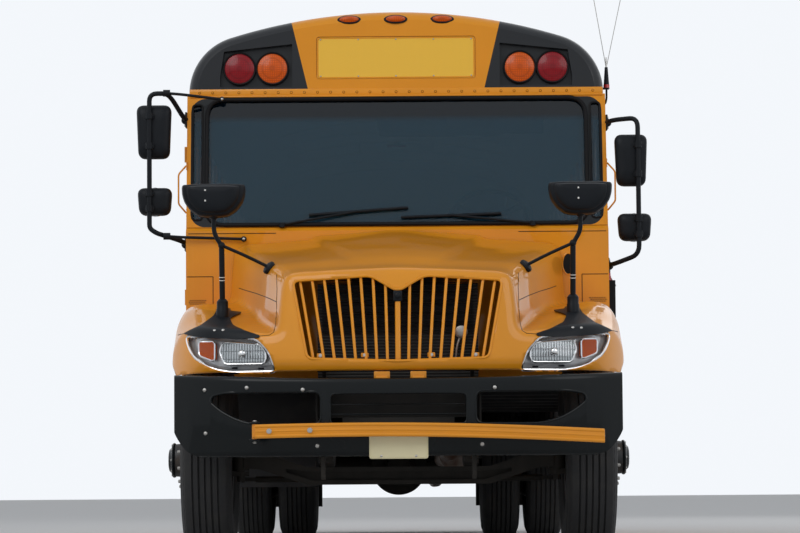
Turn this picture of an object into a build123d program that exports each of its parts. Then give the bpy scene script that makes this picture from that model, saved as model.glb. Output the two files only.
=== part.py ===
from build123d import *
import math
import os

# A conventional school bus at full size, in millimetres.
# X runs across the bus, positive towards the driver's side. Y runs from nose to tail. Z is up.
# The origin is on the ground, at the middle of the overall length.

# Overall sizes
overall_length = 10600
body_width = 2438
crown_z = 3156
wheelbase = 5994
front_overhang = 1050
skirt_z = 480
floor_z = 1060
belt_z = 1830
eave_z = 2650
wall = 45
floor_plate = 45
roof_corner_z = 2675
corner_radius = 350

# Wheels, axles and frame
tyre_radius = 521
tyre_width = 279
bead_radius = 286
front_tyre_x = 1036
rear_tyre_x = 909
dual_spacing = 323
front_arch_room = 104
rear_arch_room = 54
kingpin_x = 870
spindle_radius = 42
steering_arm = 220
rail_outer_x = 432
rail_height = 254
rail_top_z = 915
rail_sheet = 10
spring_width = 76
leaf_count = 3
leaf_sheet = 18

# Front end
hood_wall = 14
hood_front_z = 954
cowl_setback = 700
windshield_rake = 9
bumper_height = 400
bumper_top_z = 925
bumper_sheet = 70
arm_thickness = 36
grille_bars = 8

# Side openings
window_pitch = 690
window_width = 612
window_height = 620
window_sill = 25
doorway_width = 760
doorway_post = 30
pillar_room = 210
doorway_top_z = 2480
leaf_thickness = 38
glass = 8
step_height = 225
step_depth = 230
rear_door_width = 920
rear_door_top_z = 2480
hatch_size = 600

# Clearances
leaf_gap = 8
meeting_gap = 20
panel_gap = 8
pin_gap = 0.6
tyre_room = 30

# Stations worked out from the sizes above
half_body = body_width / 2
inner_half = half_body - wall
corner_x = half_body - corner_radius
crown_rise = crown_z - roof_corner_z
crown_radius = (crown_rise**2 - corner_radius**2 + corner_x**2) / (2 * (crown_rise - corner_radius))
nose_y = -overall_length / 2
bumper_y = nose_y + arm_thickness + 34
front_axle_y = bumper_y + front_overhang
rear_axle_y = front_axle_y + wheelbase
tail_y = overall_length / 2
rear_bumper_depth = 110
rear_face_y = tail_y - rear_bumper_depth
rear_inner_y = rear_face_y - wall
cowl_y = front_axle_y + cowl_setback
cowl_inner_y = cowl_y + wall
cab_side_y = cowl_y + 220
hood_nose_y = bumper_y + 115
hood_rear_y = cowl_y - panel_gap
hub_z = tyre_radius
front_arch_radius = tyre_radius + front_arch_room
rear_arch_radius = tyre_radius + rear_arch_room
windows_end_y = rear_inner_y - 20
cab_length = pillar_room + doorway_width + doorway_post
window_count = int((windows_end_y - cowl_y - cab_length) / window_pitch)
windows_start_y = windows_end_y - window_count * window_pitch
doorway_rear_y = windows_start_y - doorway_post
doorway_front_y = doorway_rear_y - doorway_width
cap_rear_y = doorway_front_y + 380
glass_base_z = belt_z + 40
glass_base_y = cowl_y + 30
cap_front_y = glass_base_y + (eave_z - glass_base_z) * math.tan(math.radians(windshield_rake))
rake = math.radians(windshield_rake)


def across(y):
    """The upright plane across the bus at station y. A negative extrusion runs towards the tail."""
    return Plane.XZ.offset(-y)


def along(x):
    """The upright plane along the bus at offset x."""
    return Plane.YZ.offset(x)


def block(x_range, y_range, z_range, mode=Mode.ADD):
    """A box from its limits along each axis."""
    limits = (x_range, y_range, z_range)
    with Locations(tuple((high + low) / 2 for low, high in limits)):
        return Box(*(high - low for low, high in limits), mode=mode)


def side_prism(points, x_range, corner=0):
    """A prism across the bus, between two offsets, from a closed (y, z) outline."""
    low, high = sorted(x_range)
    with BuildPart() as prism:
        with BuildSketch(along(low)) as outline:
            with BuildLine():
                Polyline(*points, close=True)
            make_face()
            if corner:
                fillet(outline.vertices(), corner)
        extrude(amount=high - low)
    return prism.part


def front_prism(points, y_range, corner=0, growth=0):
    """A prism along the bus, between two stations, from a closed (x, z) outline."""
    low, high = y_range
    with BuildPart() as prism:
        with BuildSketch(across(low)) as outline:
            with BuildLine():
                Polyline(*points, close=True)
            make_face()
            if corner:
                fillet(outline.vertices(), corner)
            if growth:
                offset(amount=growth)
        extrude(amount=low - high)
    return prism.part


def body_section(y, inset, bottom):
    """The cross-section of the body above bottom, inset millimetres inside its outer skin."""
    corner_z = roof_corner_z
    lean = math.atan2(crown_radius - crown_rise, corner_x)
    side_x = half_body - inset
    small = corner_radius - inset
    joint = (corner_x + small * math.cos(lean), corner_z + small * math.sin(lean))
    middle = (corner_x + small * math.cos(lean / 2), corner_z + small * math.sin(lean / 2))
    with BuildSketch(across(y)) as section:
        with BuildLine():
            Polyline((-side_x, corner_z), (-side_x, bottom), (side_x, bottom), (side_x, corner_z))
            ThreePointArc((side_x, corner_z), middle, joint)
            ThreePointArc(joint, (0, crown_z - inset), (-joint[0], joint[1]))
            ThreePointArc((-joint[0], joint[1]), (-middle[0], middle[1]), (-side_x, corner_z))
        make_face()
    return section.sketch


def finish(piece, name):
    """Label a finished piece and write it to its own file."""
    piece.label = name
    export_step(piece, "parts/" + name + ".step")


os.makedirs("parts", exist_ok=True)

# Chassis frame: two channel rails with their tow eyes and hood hinge plates, and the cross members between them
rail_front_y = bumper_y + bumper_sheet + 40
rail_rear_y = rear_inner_y - 5
rail_bottom_z = rail_top_z - rail_height
rail_mid_z = rail_top_z - rail_height / 2
member_stations = [rail_front_y + 60, cowl_y + 760, cowl_y + 1700, rear_axle_y - 900, rear_axle_y + 900]
member_stations.append(rail_rear_y - 80)
tow_eye_stations = [rail_front_y + 60, rail_rear_y - 60]
tow_eye_bore = 42
tow_eye_radius = 45
tow_eye_z = skirt_z - 30
hinge_plate_x = rail_outer_x - 44
hood_hinge_y = bumper_y + 185
hood_hinge_z = 975
hood_pin = 8
with BuildPart() as chassis_frame:
    for side in (-1, 1):
        outer = side * rail_outer_x
        block(sorted((outer, outer - side * 76)), (rail_front_y, rail_rear_y), (rail_bottom_z, rail_top_z))
        web = outer - side * rail_sheet
        flange = (rail_bottom_z + rail_sheet, rail_top_z - rail_sheet)
        block(sorted((web, outer - side * 80)), (rail_front_y, rail_rear_y), flange, mode=Mode.SUBTRACT)
    for station in tow_eye_stations:
        for side in (-1, 1):
            eye_x = side * (rail_outer_x - 38)
            with BuildSketch(along(eye_x)) as tow_eye:
                with Locations((station, tow_eye_z)):
                    Circle(tow_eye_radius)
                with Locations((station, (tow_eye_z + rail_bottom_z) / 2)):
                    Rectangle(2 * tow_eye_radius, rail_bottom_z - tow_eye_z)
                with Locations((station, tow_eye_z)):
                    Circle(tow_eye_bore / 2, mode=Mode.SUBTRACT)
            extrude(amount=11, both=True)
    for side in (-1, 1):
        with BuildSketch(along(side * hinge_plate_x)) as hinge_plate:
            with BuildLine():
                Polyline(
                    (hood_hinge_y + 12, hood_hinge_z - 13),
                    (hood_hinge_y + 46, rail_top_z - 5),
                    (hood_hinge_y + 130, rail_top_z - 5),
                    (hood_hinge_y + 2, hood_hinge_z + 17),
                    close=True,
                )
            make_face()
            with Locations((hood_hinge_y, hood_hinge_z)):
                Circle(18)
        extrude(amount=10, both=True)
        with BuildSketch(along(side * hinge_plate_x)):
            with Locations((hood_hinge_y, hood_hinge_z)):
                Circle(hood_pin)
        extrude(amount=36, both=True)
finish(chassis_frame.part, "chassis_frame")
member_half = rail_outer_x - rail_sheet
member_sheet = 10
with BuildPart() as cross_members:
    for station in member_stations:
        block((-member_half, member_half), (station - 35, station + 35), (rail_mid_z - 60, rail_mid_z + 60))
        inside = (rail_mid_z - 60 + member_sheet, rail_mid_z + 60 - member_sheet)
        block((-member_half, member_half), (station - 35 + member_sheet, station + 36), inside, mode=Mode.SUBTRACT)
finish(cross_members.part, "cross_members")

# Floor: plate, cross beams that stand on the frame, and a wheel house over each pair of rear tyres
floor_bottom_z = floor_z - floor_plate
stepwell_inner_x = -inner_half + 3 * step_depth
house_inner_x = rear_tyre_x - dual_spacing / 2 - tyre_width / 2 - tyre_room
house_top_z = hub_z + rear_arch_radius + 12
beam_count = 13
with BuildPart() as body_floor:
    block((-inner_half, inner_half), (cowl_inner_y, rear_inner_y), (floor_bottom_z, floor_z))
    for number in range(beam_count):
        beam_y = cowl_inner_y + 120 + number * (rear_inner_y - cowl_inner_y - 240) / (beam_count - 1)
        block((-inner_half, inner_half), (beam_y - 30, beam_y + 30), (rail_top_z, floor_bottom_z))
    well = (doorway_front_y - 20, doorway_rear_y + 20)
    block((-half_body, stepwell_inner_x), well, (rail_top_z, floor_z), mode=Mode.SUBTRACT)
    for side in (-1, 1):
        house_x = sorted((side * house_inner_x, side * inner_half))
        house_y = (rear_axle_y - rear_arch_radius - 12, rear_axle_y + rear_arch_radius + 12)
        block(house_x, house_y, (rail_top_z, house_top_z))
        open_x = side * (house_inner_x + 12)
        with BuildSketch(along(open_x)) as arch:
            with Locations((rear_axle_y, hub_z)):
                Circle(rear_arch_radius)
        extrude(amount=side * (inner_half - abs(open_x)), mode=Mode.SUBTRACT)
finish(body_floor.part, "body_floor")

# Entrance steps: treads and risers between two cheeks, open at the doorway
step_bottom_z = floor_z - 3 * step_height
with BuildPart() as entrance_steps:
    outer_x = -inner_half
    for number in range(3):
        tread_z = step_bottom_z + number * step_height
        tread_x = outer_x + number * step_depth
        block((tread_x, tread_x + step_depth), well, (tread_z - 12, tread_z))
        block((tread_x + step_depth - 12, tread_x + step_depth), well, (tread_z, tread_z + step_height))
    for station, away in ((well[0], 12), (well[1], -12)):
        cheek = (min(station, station + away), max(station, station + away))
        block((outer_x, outer_x + 3 * step_depth), cheek, (step_bottom_z - 12, floor_z - 12))
finish(entrance_steps.part, "entrance_steps")

# Side walls below the belt, with the doorway, the rear wheel arches and a low front corner
with BuildPart() as side_walls:
    for side in (-1, 1):
        with BuildSketch(along(side * inner_half)):
            with BuildLine():
                Polyline(
                    (cowl_y, belt_z),
                    (rear_inner_y, belt_z),
                    (rear_inner_y, skirt_z),
                    (cowl_y + 60, skirt_z),
                    (cowl_y, skirt_z + 60),
                    close=True,
                )
            make_face()
            with Locations((rear_axle_y, hub_z)):
                Circle(rear_arch_radius, mode=Mode.SUBTRACT)
            with Locations((rear_axle_y, skirt_z - 200)):
                Rectangle(2 * rear_arch_radius, 400 + 2 * (hub_z - skirt_z), mode=Mode.SUBTRACT)
        extrude(amount=side * wall)
    doorway = (doorway_front_y, doorway_rear_y)
    block((-half_body, -inner_half), doorway, (0, belt_z), mode=Mode.SUBTRACT)
finish(side_walls.part, "side_walls")

# Window bands above the belt: passenger windows, the driver's window and the top of the doorway
window_z = belt_z + window_sill + window_height / 2
driver_window_y = (doorway_front_y + doorway_rear_y) / 2
driver_window_width = 660
window_places = [windows_start_y + (number + 0.5) * window_pitch for number in range(window_count)]
with BuildPart() as window_bands:
    for side in (-1, 1):
        with BuildSketch(along(side * inner_half)):
            with BuildLine():
                Polyline(
                    (doorway_front_y, belt_z),
                    (rear_inner_y, belt_z),
                    (rear_inner_y, eave_z),
                    (doorway_front_y, eave_z),
                    close=True,
                )
            make_face()
            with Locations(*((place, window_z) for place in window_places)):
                RectangleRounded(window_width, window_height, 40, mode=Mode.SUBTRACT)
            if side > 0:
                with Locations((driver_window_y, window_z)):
                    RectangleRounded(driver_window_width, window_height, 40, mode=Mode.SUBTRACT)
            else:
                with Locations((driver_window_y, belt_z)):
                    Rectangle(doorway_width, 2 * (doorway_top_z - belt_z), mode=Mode.SUBTRACT)
        extrude(amount=side * wall)
finish(window_bands.part, "window_bands")

# Fixed glass of the sides and the rear wall, each pane set in the middle of its opening
pane_gap = 1
rear_window_x = (rear_door_width / 2 + half_body) / 2
rear_window_width = 470
with BuildPart() as window_glass:
    for side in (-1, 1):
        with BuildSketch(along(side * (half_body - wall / 2))):
            with Locations(*((place, window_z) for place in window_places)):
                RectangleRounded(window_width - 2 * pane_gap, window_height - 2 * pane_gap, 39)
            if side > 0:
                with Locations((driver_window_y, window_z)):
                    RectangleRounded(driver_window_width - 2 * pane_gap, window_height - 2 * pane_gap, 39)
        extrude(amount=glass / 2, both=True)
        with BuildSketch(across(rear_face_y - wall / 2)):
            with Locations((side * rear_window_x, window_z)):
                RectangleRounded(rear_window_width - 2 * pane_gap, window_height - 2 * pane_gap, 39)
        extrude(amount=glass / 2, both=True)
finish(window_glass.part, "window_glass")

# Roof: the arch from the front cap to the rear wall, with a raised coaming round each hatch
hatch_stations = [windows_start_y + 1.5 * window_pitch, windows_end_y - 2.5 * window_pitch]
coaming_z = crown_z + 12
hatch_hinge_x = 200
hatch_hinge_out = 40
hatch_hinge_z = coaming_z + 15
hatch_pin = 4
with BuildPart() as roof:
    extrude(body_section(cap_rear_y, 0, eave_z), amount=rear_inner_y - cap_rear_y, dir=(0, 1, 0))
    inside = body_section(cap_rear_y - 1, wall, eave_z - 1)
    extrude(inside, amount=rear_inner_y - cap_rear_y + 2, dir=(0, 1, 0), mode=Mode.SUBTRACT)
    for station in hatch_stations:
        with BuildSketch(Plane.XY.offset(coaming_z)):
            with Locations((0, station)):
                RectangleRounded(hatch_size + 60, hatch_size + 60, 60)
        extrude(amount=-50)
        with BuildSketch(Plane.XY.offset(coaming_z)):
            with Locations((0, station)):
                RectangleRounded(hatch_size, hatch_size, 40)
        extrude(amount=-200, mode=Mode.SUBTRACT)
        hinge_y = station - hatch_size / 2 - hatch_hinge_out
        for side in (-1, 1):
            with BuildSketch(along(side * hatch_hinge_x)):
                with Locations((hinge_y, (hatch_hinge_z + crown_z - 20) / 2)):
                    Rectangle(16, hatch_hinge_z - crown_z + 20)
                with Locations((hinge_y, hatch_hinge_z)):
                    Circle(8)
            extrude(amount=side * 10)
            with BuildSketch(along(side * (hatch_hinge_x - 44))):
                with Locations((hinge_y, hatch_hinge_z)):
                    Circle(hatch_pin)
            extrude(amount=side * 50)
finish(roof.part, "roof")

# Front cap: a domed shell over the windshield, with a pocket for each pair of warning lamps and a
# shallow recess for the sign
lamp_radius = 89
lamp_pocket = 46
lamp_centre_z = 2813
red_lamp_x = 915
amber_lamp_x = 723
sign_width = 930
sign_height = 250
sign_z = 2871
cap_sections = ((0, 62), (34, 22), (110, 5), (cap_rear_y - cap_front_y, 0))
with BuildPart() as cap_outside:
    for setback, inset in cap_sections:
        add(body_section(cap_front_y + setback, inset, eave_z))
    loft()
with BuildPart() as front_cap:
    add(cap_outside.part)
    add(body_section(cap_front_y + lamp_pocket + 30, 120, eave_z - 1))
    add(body_section(cap_rear_y + 1, wall, eave_z - 1))
    loft(mode=Mode.SUBTRACT)
    for side in (-1, 1):
        with BuildSketch(across(cap_front_y + lamp_pocket)):
            with BuildLine():
                low = lamp_centre_z - lamp_radius - 22
                high = lamp_centre_z + lamp_radius + 30
                left = amber_lamp_x - lamp_radius - 28
                right = red_lamp_x + lamp_radius + 24
                Polyline((side * left, high + 22), (side * left, low), (side * right, low))
                Line((side * right, low), (side * right, low + 60))
                Polyline((side * right, low + 60), (side * (right - 24), high - 20), (side * left, high + 22))
            make_face()
        extrude(amount=200, mode=Mode.SUBTRACT)
    with BuildSketch(across(cap_front_y + 12)):
        with Locations((0, sign_z)):
            RectangleRounded(sign_width, sign_height, 20)
    extrude(amount=200, mode=Mode.SUBTRACT)
finish(front_cap.part, "front_cap")

# Rear wall: one stamped end with the emergency door's opening and a window each side of it
rear_door_z = (floor_z, rear_door_top_z)
rear_sections = ((0, 0), (18, 0), (wall, 26))
with BuildPart() as rear_wall:
    for setback, inset in rear_sections:
        add(body_section(rear_inner_y + setback, inset, skirt_z))
    loft(ruled=True)
    half_door = rear_door_width / 2
    block((-half_door, half_door), (rear_inner_y - 1, rear_face_y + 1), rear_door_z, mode=Mode.SUBTRACT)
    with BuildSketch(across(rear_inner_y)):
        with Locations((-rear_window_x, window_z), (rear_window_x, window_z)):
            RectangleRounded(rear_window_width, window_height, 40)
    extrude(amount=-wall - 1, mode=Mode.SUBTRACT)
finish(rear_wall.part, "rear_wall")

# Cowl: the wall between the hood and the cab, with a ledge under the windshield
ledge_z = belt_z
footwell_z = rail_top_z
with BuildPart() as cowl:
    block((-inner_half, inner_half), (cowl_y, cowl_inner_y), (footwell_z, ledge_z))
    with BuildSketch(along(-half_body)):
        with BuildLine():
            Polyline(
                (cowl_y, ledge_z),
                (cowl_y + 160, ledge_z),
                (cowl_y + 160, glass_base_z - 12),
                (glass_base_y - 4, glass_base_z - 12),
                (glass_base_y - 4, glass_base_z - 4),
                (cowl_y, ledge_z + 16),
                close=True,
            )
        make_face()
    extrude(amount=body_width)
finish(cowl.part, "cowl")

# Windshield frame: leaning pillars and header, with a narrow corner window outboard of each pillar
shield_half = half_body - 115
corner_glass = (half_body - 91, half_body - 33)
frame_depth = 60
leaning = Plane(
    origin=(0, glass_base_y, glass_base_z),
    x_dir=(1, 0, 0),
    z_dir=(0, -math.cos(rake), math.sin(rake)),
)
slope_length = (eave_z - glass_base_z) / math.cos(rake)
shield_top = slope_length - 22
shield_bottom = 14
with BuildPart() as windshield_frame:
    with BuildSketch(leaning):
        with Locations((0, slope_length / 2)):
            Rectangle(body_width, slope_length)
        with Locations((0, (shield_top + shield_bottom) / 2)):
            RectangleRounded(2 * shield_half, shield_top - shield_bottom, 110, mode=Mode.SUBTRACT)
        for side in (-1, 1):
            with Locations((side * sum(corner_glass) / 2, (shield_top + shield_bottom) / 2)):
                width = corner_glass[1] - corner_glass[0]
                RectangleRounded(width, shield_top - shield_bottom - 60, 20, mode=Mode.SUBTRACT)
    extrude(amount=-frame_depth)
    for side in (-1, 1):
        inner = frame_depth / math.cos(rake)
        with BuildSketch(along(side * inner_half)):
            with BuildLine():
                Polyline(
                    (glass_base_y + inner * 0.5, glass_base_z),
                    (doorway_front_y, glass_base_z),
                    (doorway_front_y, eave_z),
                    (cap_front_y + inner * 0.5, eave_z),
                    close=True,
                )
            make_face()
        extrude(amount=side * wall)
finish(windshield_frame.part, "windshield_frame")

# Windshield and corner panes
with BuildPart() as windshield:
    with BuildSketch(leaning.offset(-16)):
        with Locations((0, (shield_top + shield_bottom) / 2)):
            RectangleRounded(2 * (shield_half - pane_gap), shield_top - shield_bottom - 2 * pane_gap, 109)
        for side in (-1, 1):
            with Locations((side * sum(corner_glass) / 2, (shield_top + shield_bottom) / 2)):
                width = corner_glass[1] - corner_glass[0] - 2 * pane_gap
                RectangleRounded(width, shield_top - shield_bottom - 60 - 2 * pane_gap, 19)
    extrude(amount=-glass)
finish(windshield.part, "windshield")

# Rub rails: pressed ribs along both sides at the floor, seat and window lines
rub_rails_z = (floor_z - 60, floor_z + 370, belt_z - 40)
rub_rail_height = 95
rub_rail_depth = 14
with BuildPart() as rub_rails:
    for rail_z in rub_rails_z:
        for side in (-1, 1):
            start_y = doorway_rear_y + 6 if side < 0 else cab_side_y + 60
            spans = [(start_y, rear_face_y - 60)]
            if rail_z < hub_z + rear_arch_radius:
                spans = [
                    (start_y, rear_axle_y - rear_arch_radius - 20),
                    (rear_axle_y + rear_arch_radius + 20, rear_face_y - 60),
                ]
            for low_y, high_y in spans:
                with BuildSketch(across(low_y)):
                    with Locations((side * (half_body + rub_rail_depth / 2), rail_z)):
                        Rectangle(rub_rail_depth, rub_rail_height)
                extrude(amount=low_y - high_y)
    outer_edges = rub_rails.edges().filter_by(Axis.Y).filter_by(lambda e: abs(e.center().X) > half_body + 1)
    chamfer(outer_edges, 8)
finish(rub_rails.part, "rub_rails")

# Hood: a broad bonnet that narrows to the nose, between two fenders that sweep back round the tyres
crest_rear_z = belt_z + 3
crest_front_z = 1503
nose_top_z = 1470
hood_length = hood_rear_y - hood_nose_y
# station from the nose, half width at the foot, half width at the shoulder, shoulder z, crest z
bonnet_sections = (
    (0, 660, 560, crest_front_z - 14, crest_front_z),
    (hood_length, 1010, 905, crest_rear_z - 74, crest_rear_z),
)
# station from the nose, height of the fender's side, height of its inner edge
fender_sections = (
    (0, 1085, 1190),
    (560, 1230, 1340),
    (840, 1262, 1402),
    (hood_length, 1300, 1420),
)
fender_radius = 118
lamp_outer_x = half_body - 89
nose_sweep = ((0, 0), (650, 85), (lamp_outer_x, 435), (half_body, 640))


def bonnet_section(station, foot, shoulder, shoulder_z, crest, inset):
    """Half-rounded section of the bonnet, set in from the outer skin by inset."""
    foot_x = foot - inset
    side_z = shoulder_z - 78
    side_x = shoulder + 62 - inset
    top_x = shoulder - 14 - inset
    bend = (shoulder + 34 - inset, shoulder_z - 16 - inset)
    with BuildSketch(across(hood_nose_y + station)) as section:
        with BuildLine():
            Polyline((-side_x, side_z), (-foot_x, hood_front_z - inset), (foot_x, hood_front_z - inset), (side_x, side_z))
            ThreePointArc((side_x, side_z), bend, (top_x, shoulder_z - inset))
            ThreePointArc((top_x, shoulder_z - inset), (0, crest - inset), (-top_x, shoulder_z - inset))
            ThreePointArc((-top_x, shoulder_z - inset), (-bend[0], bend[1]), (-side_x, side_z))
        make_face()
    return section.sketch


def fender_section(station, side_z, inner_z, inset):
    """Section across both fenders, with a rounded outer shoulder, set in by inset."""
    side_x = half_body - inset
    round_x = side_x - fender_radius
    top_z = side_z + fender_radius - inset
    slant = fender_radius * math.sqrt(0.5)
    with BuildSketch(across(hood_nose_y + station)) as section:
        with BuildLine():
            Polyline((-side_x, side_z), (-side_x, hood_front_z - inset), (side_x, hood_front_z - inset), (side_x, side_z))
            ThreePointArc((side_x, side_z), (round_x + slant, side_z - inset + slant), (round_x, top_z))
            Polyline((round_x, top_z), (600, inner_z - inset), (-600, inner_z - inset), (-round_x, top_z))
            ThreePointArc((-round_x, top_z), (-round_x - slant, side_z - inset + slant), (-side_x, side_z))
        make_face()
    return section.sketch


def hood_form(inset):
    """The solid form of the hood, inset millimetres inside its outer skin."""
    with BuildPart() as form:
        for station, foot, shoulder, shoulder_z, crest in bonnet_sections:
            add(bonnet_section(station, foot, shoulder, shoulder_z, crest, inset))
        loft(ruled=True)
    with BuildPart() as profile:
        with BuildSketch(along(-half_body)):
            with BuildLine():
                low = hood_front_z - inset - 5
                Polyline((hood_rear_y, low), (hood_nose_y + inset, low), (hood_nose_y + inset, hood_front_z + 90))
                Line((hood_nose_y + inset, hood_front_z + 90), (hood_nose_y + 78 + inset, nose_top_z - 20))
                ThreePointArc(
                    (hood_nose_y + 78 + inset, nose_top_z - 20),
                    (hood_nose_y + 118 + inset, nose_top_z + 50 - inset),
                    (hood_nose_y + 230 + inset, crest_front_z + 58 - inset),
                )
                Polyline(
                    (hood_nose_y + 230 + inset, crest_front_z + 58 - inset),
                    (hood_rear_y, crest_rear_z + 20),
                    (hood_rear_y, low),
                )
            make_face()
        extrude(amount=body_width)
    with BuildPart() as fenders:
        for station, side_z, inner_z in fender_sections:
            add(fender_section(station, side_z, inner_z, inset))
        loft(ruled=True)
    with BuildPart() as plan:
        with BuildSketch(Plane.XY.offset(hood_front_z - inset - 5)):
            with BuildLine():
                (x0, y0), (x1, y1), (x2, y2), (x3, y3) = nose_sweep
                front = hood_nose_y + inset
                Polyline((x3 - inset, front + y3), (half_body, hood_rear_y), (-half_body, hood_rear_y), (inset - x3, front + y3))
                ThreePointArc((x3 - inset, front + y3), (x2 - inset, front + y2), (x1, front + y1))
                ThreePointArc((x1, front + y1), (x0, front + y0), (-x1, front + y1))
                ThreePointArc((-x1, front + y1), (inset - x2, front + y2), (inset - x3, front + y3))
            make_face()
        extrude(amount=1200)
    return (form.part & profile.part & plan.part) + (fenders.part & plan.part)


# Front-view outlines that cut the nose: the grille opening with its notch, and the headlights
grille_top_x = 553
grille_foot_x = 475
grille_outline = ((0, 1388), (140, 1472), (grille_top_x, 1450), (grille_foot_x, 1035), (0, 1019))
lamp_corners = ((480, 975), (388, 1149), (0, 1177), (45, 1075), (230, 985))
lamp_outline = [(lamp_outer_x - inboard, z) for inboard, z in lamp_corners]
head_lamp_depth = 90


def full_outline(half):
    """A symmetric outline from the points of its right half, first and last on the centre line."""
    return list(half) + [(-x, z) for x, z in half[-2:0:-1]]


def sided(points, side):
    return [(side * x, z) for x, z in points]


nose_cut = (bumper_y, bumper_y + 520)
lamp_cut = (bumper_y, bumper_y + 900)
grille_corner = 30
lamp_corner = 26
with BuildPart() as nose_openings:
    add(front_prism(full_outline(grille_outline), nose_cut, grille_corner))
    for side in (-1, 1):
        add(front_prism(sided(lamp_outline, side), lamp_cut, lamp_corner))
with BuildPart() as hood:
    add(hood_form(0))
    add(hood_form(hood_wall), mode=Mode.SUBTRACT)
    block((-half_body, half_body), (hood_rear_y - hood_wall, hood_rear_y + 1), (0, hood_front_z), mode=Mode.SUBTRACT)
    add(nose_openings.part, mode=Mode.SUBTRACT)
    for side in (-1, 1):
        for lug_x in (hinge_plate_x - 22, hinge_plate_x + 22):
            with BuildSketch(along(side * lug_x)) as hinge_lug:
                with Locations((hood_hinge_y - 17, hood_hinge_z)):
                    Rectangle(34, 30)
                with Locations((hood_hinge_y, hood_hinge_z)):
                    Circle(16)
                with Locations((hood_hinge_y, hood_hinge_z)):
                    Circle(hood_pin + pin_gap, mode=Mode.SUBTRACT)
            extrude(amount=6, both=True)
    with BuildSketch(along(-half_body)):
        with Locations((front_axle_y, hub_z)):
            Circle(front_arch_radius)
    extrude(amount=body_width, mode=Mode.SUBTRACT)
finish(hood.part, "hood")

# Grille: upright bars that fan out from a thick middle bar, on a ring bonded inside the nose
grille_gap = 2
grille_depth = 38
grille_lip = 22


def grille_window(growth):
    """A prism through the nose in the shape of the grille opening, grown by growth."""
    return front_prism(full_outline(grille_outline), nose_cut, grille_corner, growth)


with BuildPart() as bar_pattern:
    for number in range(-grille_bars, grille_bars + 1):
        top_x = number * grille_top_x / (grille_bars + 0.6)
        foot_x = number * grille_foot_x / (grille_bars + 0.6)
        half_bar = 16 if number == 0 else 9
        foot = ((foot_x - half_bar, 980), (foot_x + half_bar, 980))
        head = ((top_x + half_bar, 1500), (top_x - half_bar, 1500))
        add(front_prism(foot + head, nose_cut))
hood_inside = hood_form(hood_wall)
bar_layer = hood_form(6) - hood_form(6 + grille_depth)
ring_layer = hood_inside - hood_form(hood_wall + grille_lip)
ring = grille_window(grille_lip) - grille_window(-8)
with BuildPart() as grille:
    add(bar_layer & grille_window(-grille_gap) & bar_pattern.part)
    add(ring_layer & ring)
finish(grille.part, "grille")

# Headlights: units whose lenses follow the fender's skin, a small gap inside their openings
with BuildPart() as lamp_space:
    for side in (-1, 1):
        add(front_prism(sided(lamp_outline, side), lamp_cut, lamp_corner, -3))
with BuildPart() as headlights:
    add((hood_form(3) - hood_form(head_lamp_depth)) & lamp_space.part)
finish(headlights.part, "headlights")

# Front bumper: a deep bowed channel with air openings, and lugs that carry the crossing arm
bumper_bottom_z = bumper_top_z - bumper_height
bumper_end_x = half_body - 37
bumper_end_y = bumper_y + 300
bumper_bow = ((0, 0), (700, 66), (bumper_end_x, 300))
air_outline = ((395, 672), (395, 862), (760, 862), (930, 800), (820, 745), (640, 700))
radiator_outline = ((0, 690), (350, 690), (350, 850), (0, 850))
arm_hinge_x = -742
arm_hinge_y = bumper_y - 26
arm_z = (618, 690)
arm_barrel = 15
lug_thickness = 10


def bow_line(depth):
    """The bumper's face in plan, depth behind its skin, from one end to the other."""
    (x0, y0), (x1, y1), (x2, y2) = bumper_bow
    return (
        ((-x2, bumper_y + y2 + depth), (-x1, bumper_y + y1 + depth), (x0, bumper_y + y0 + depth)),
        ((x0, bumper_y + y0 + depth), (x1, bumper_y + y1 + depth), (x2, bumper_y + y2 + depth)),
    )


with BuildPart() as front_bumper:
    with BuildSketch(Plane.XY.offset(bumper_bottom_z)):
        with BuildLine():
            outer_left, outer_right = bow_line(0)
            inner_left, inner_right = bow_line(bumper_sheet)
            ThreePointArc(*outer_left)
            ThreePointArc(*outer_right)
            Line(outer_right[2], inner_right[2])
            ThreePointArc(*inner_right)
            ThreePointArc(*inner_left)
            Line(inner_left[0], outer_left[0])
        make_face()
    extrude(amount=bumper_height)
    for side in (-1, 1):
        low_corner = ((860, bumper_bottom_z - 1), (bumper_end_x + 1, bumper_bottom_z - 1))
        low_corner += ((bumper_end_x + 1, bumper_bottom_z + 110), (1000, bumper_bottom_z + 70))
        add(front_prism(sided(low_corner, side), (nose_y, nose_y + 600)), mode=Mode.SUBTRACT)
        add(front_prism(sided(air_outline, side), (nose_y, nose_y + 600), 22), mode=Mode.SUBTRACT)
    add(front_prism(full_outline(radiator_outline), (nose_y, nose_y + 600)), mode=Mode.SUBTRACT)
    for low_z in (arm_z[0] - lug_thickness - 2, arm_z[1] + 2):
        with BuildSketch(Plane.XY.offset(low_z)):
            with Locations((arm_hinge_x, arm_hinge_y)):
                Circle(arm_barrel + 4)
            with Locations((arm_hinge_x, (arm_hinge_y + bumper_y + 100) / 2)):
                Rectangle(2 * arm_barrel + 8, bumper_y + 100 - arm_hinge_y)
            with Locations((arm_hinge_x, arm_hinge_y)):
                Circle(8 + pin_gap, mode=Mode.SUBTRACT)
        extrude(amount=lug_thickness)
finish(front_bumper.part, "front_bumper")

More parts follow.
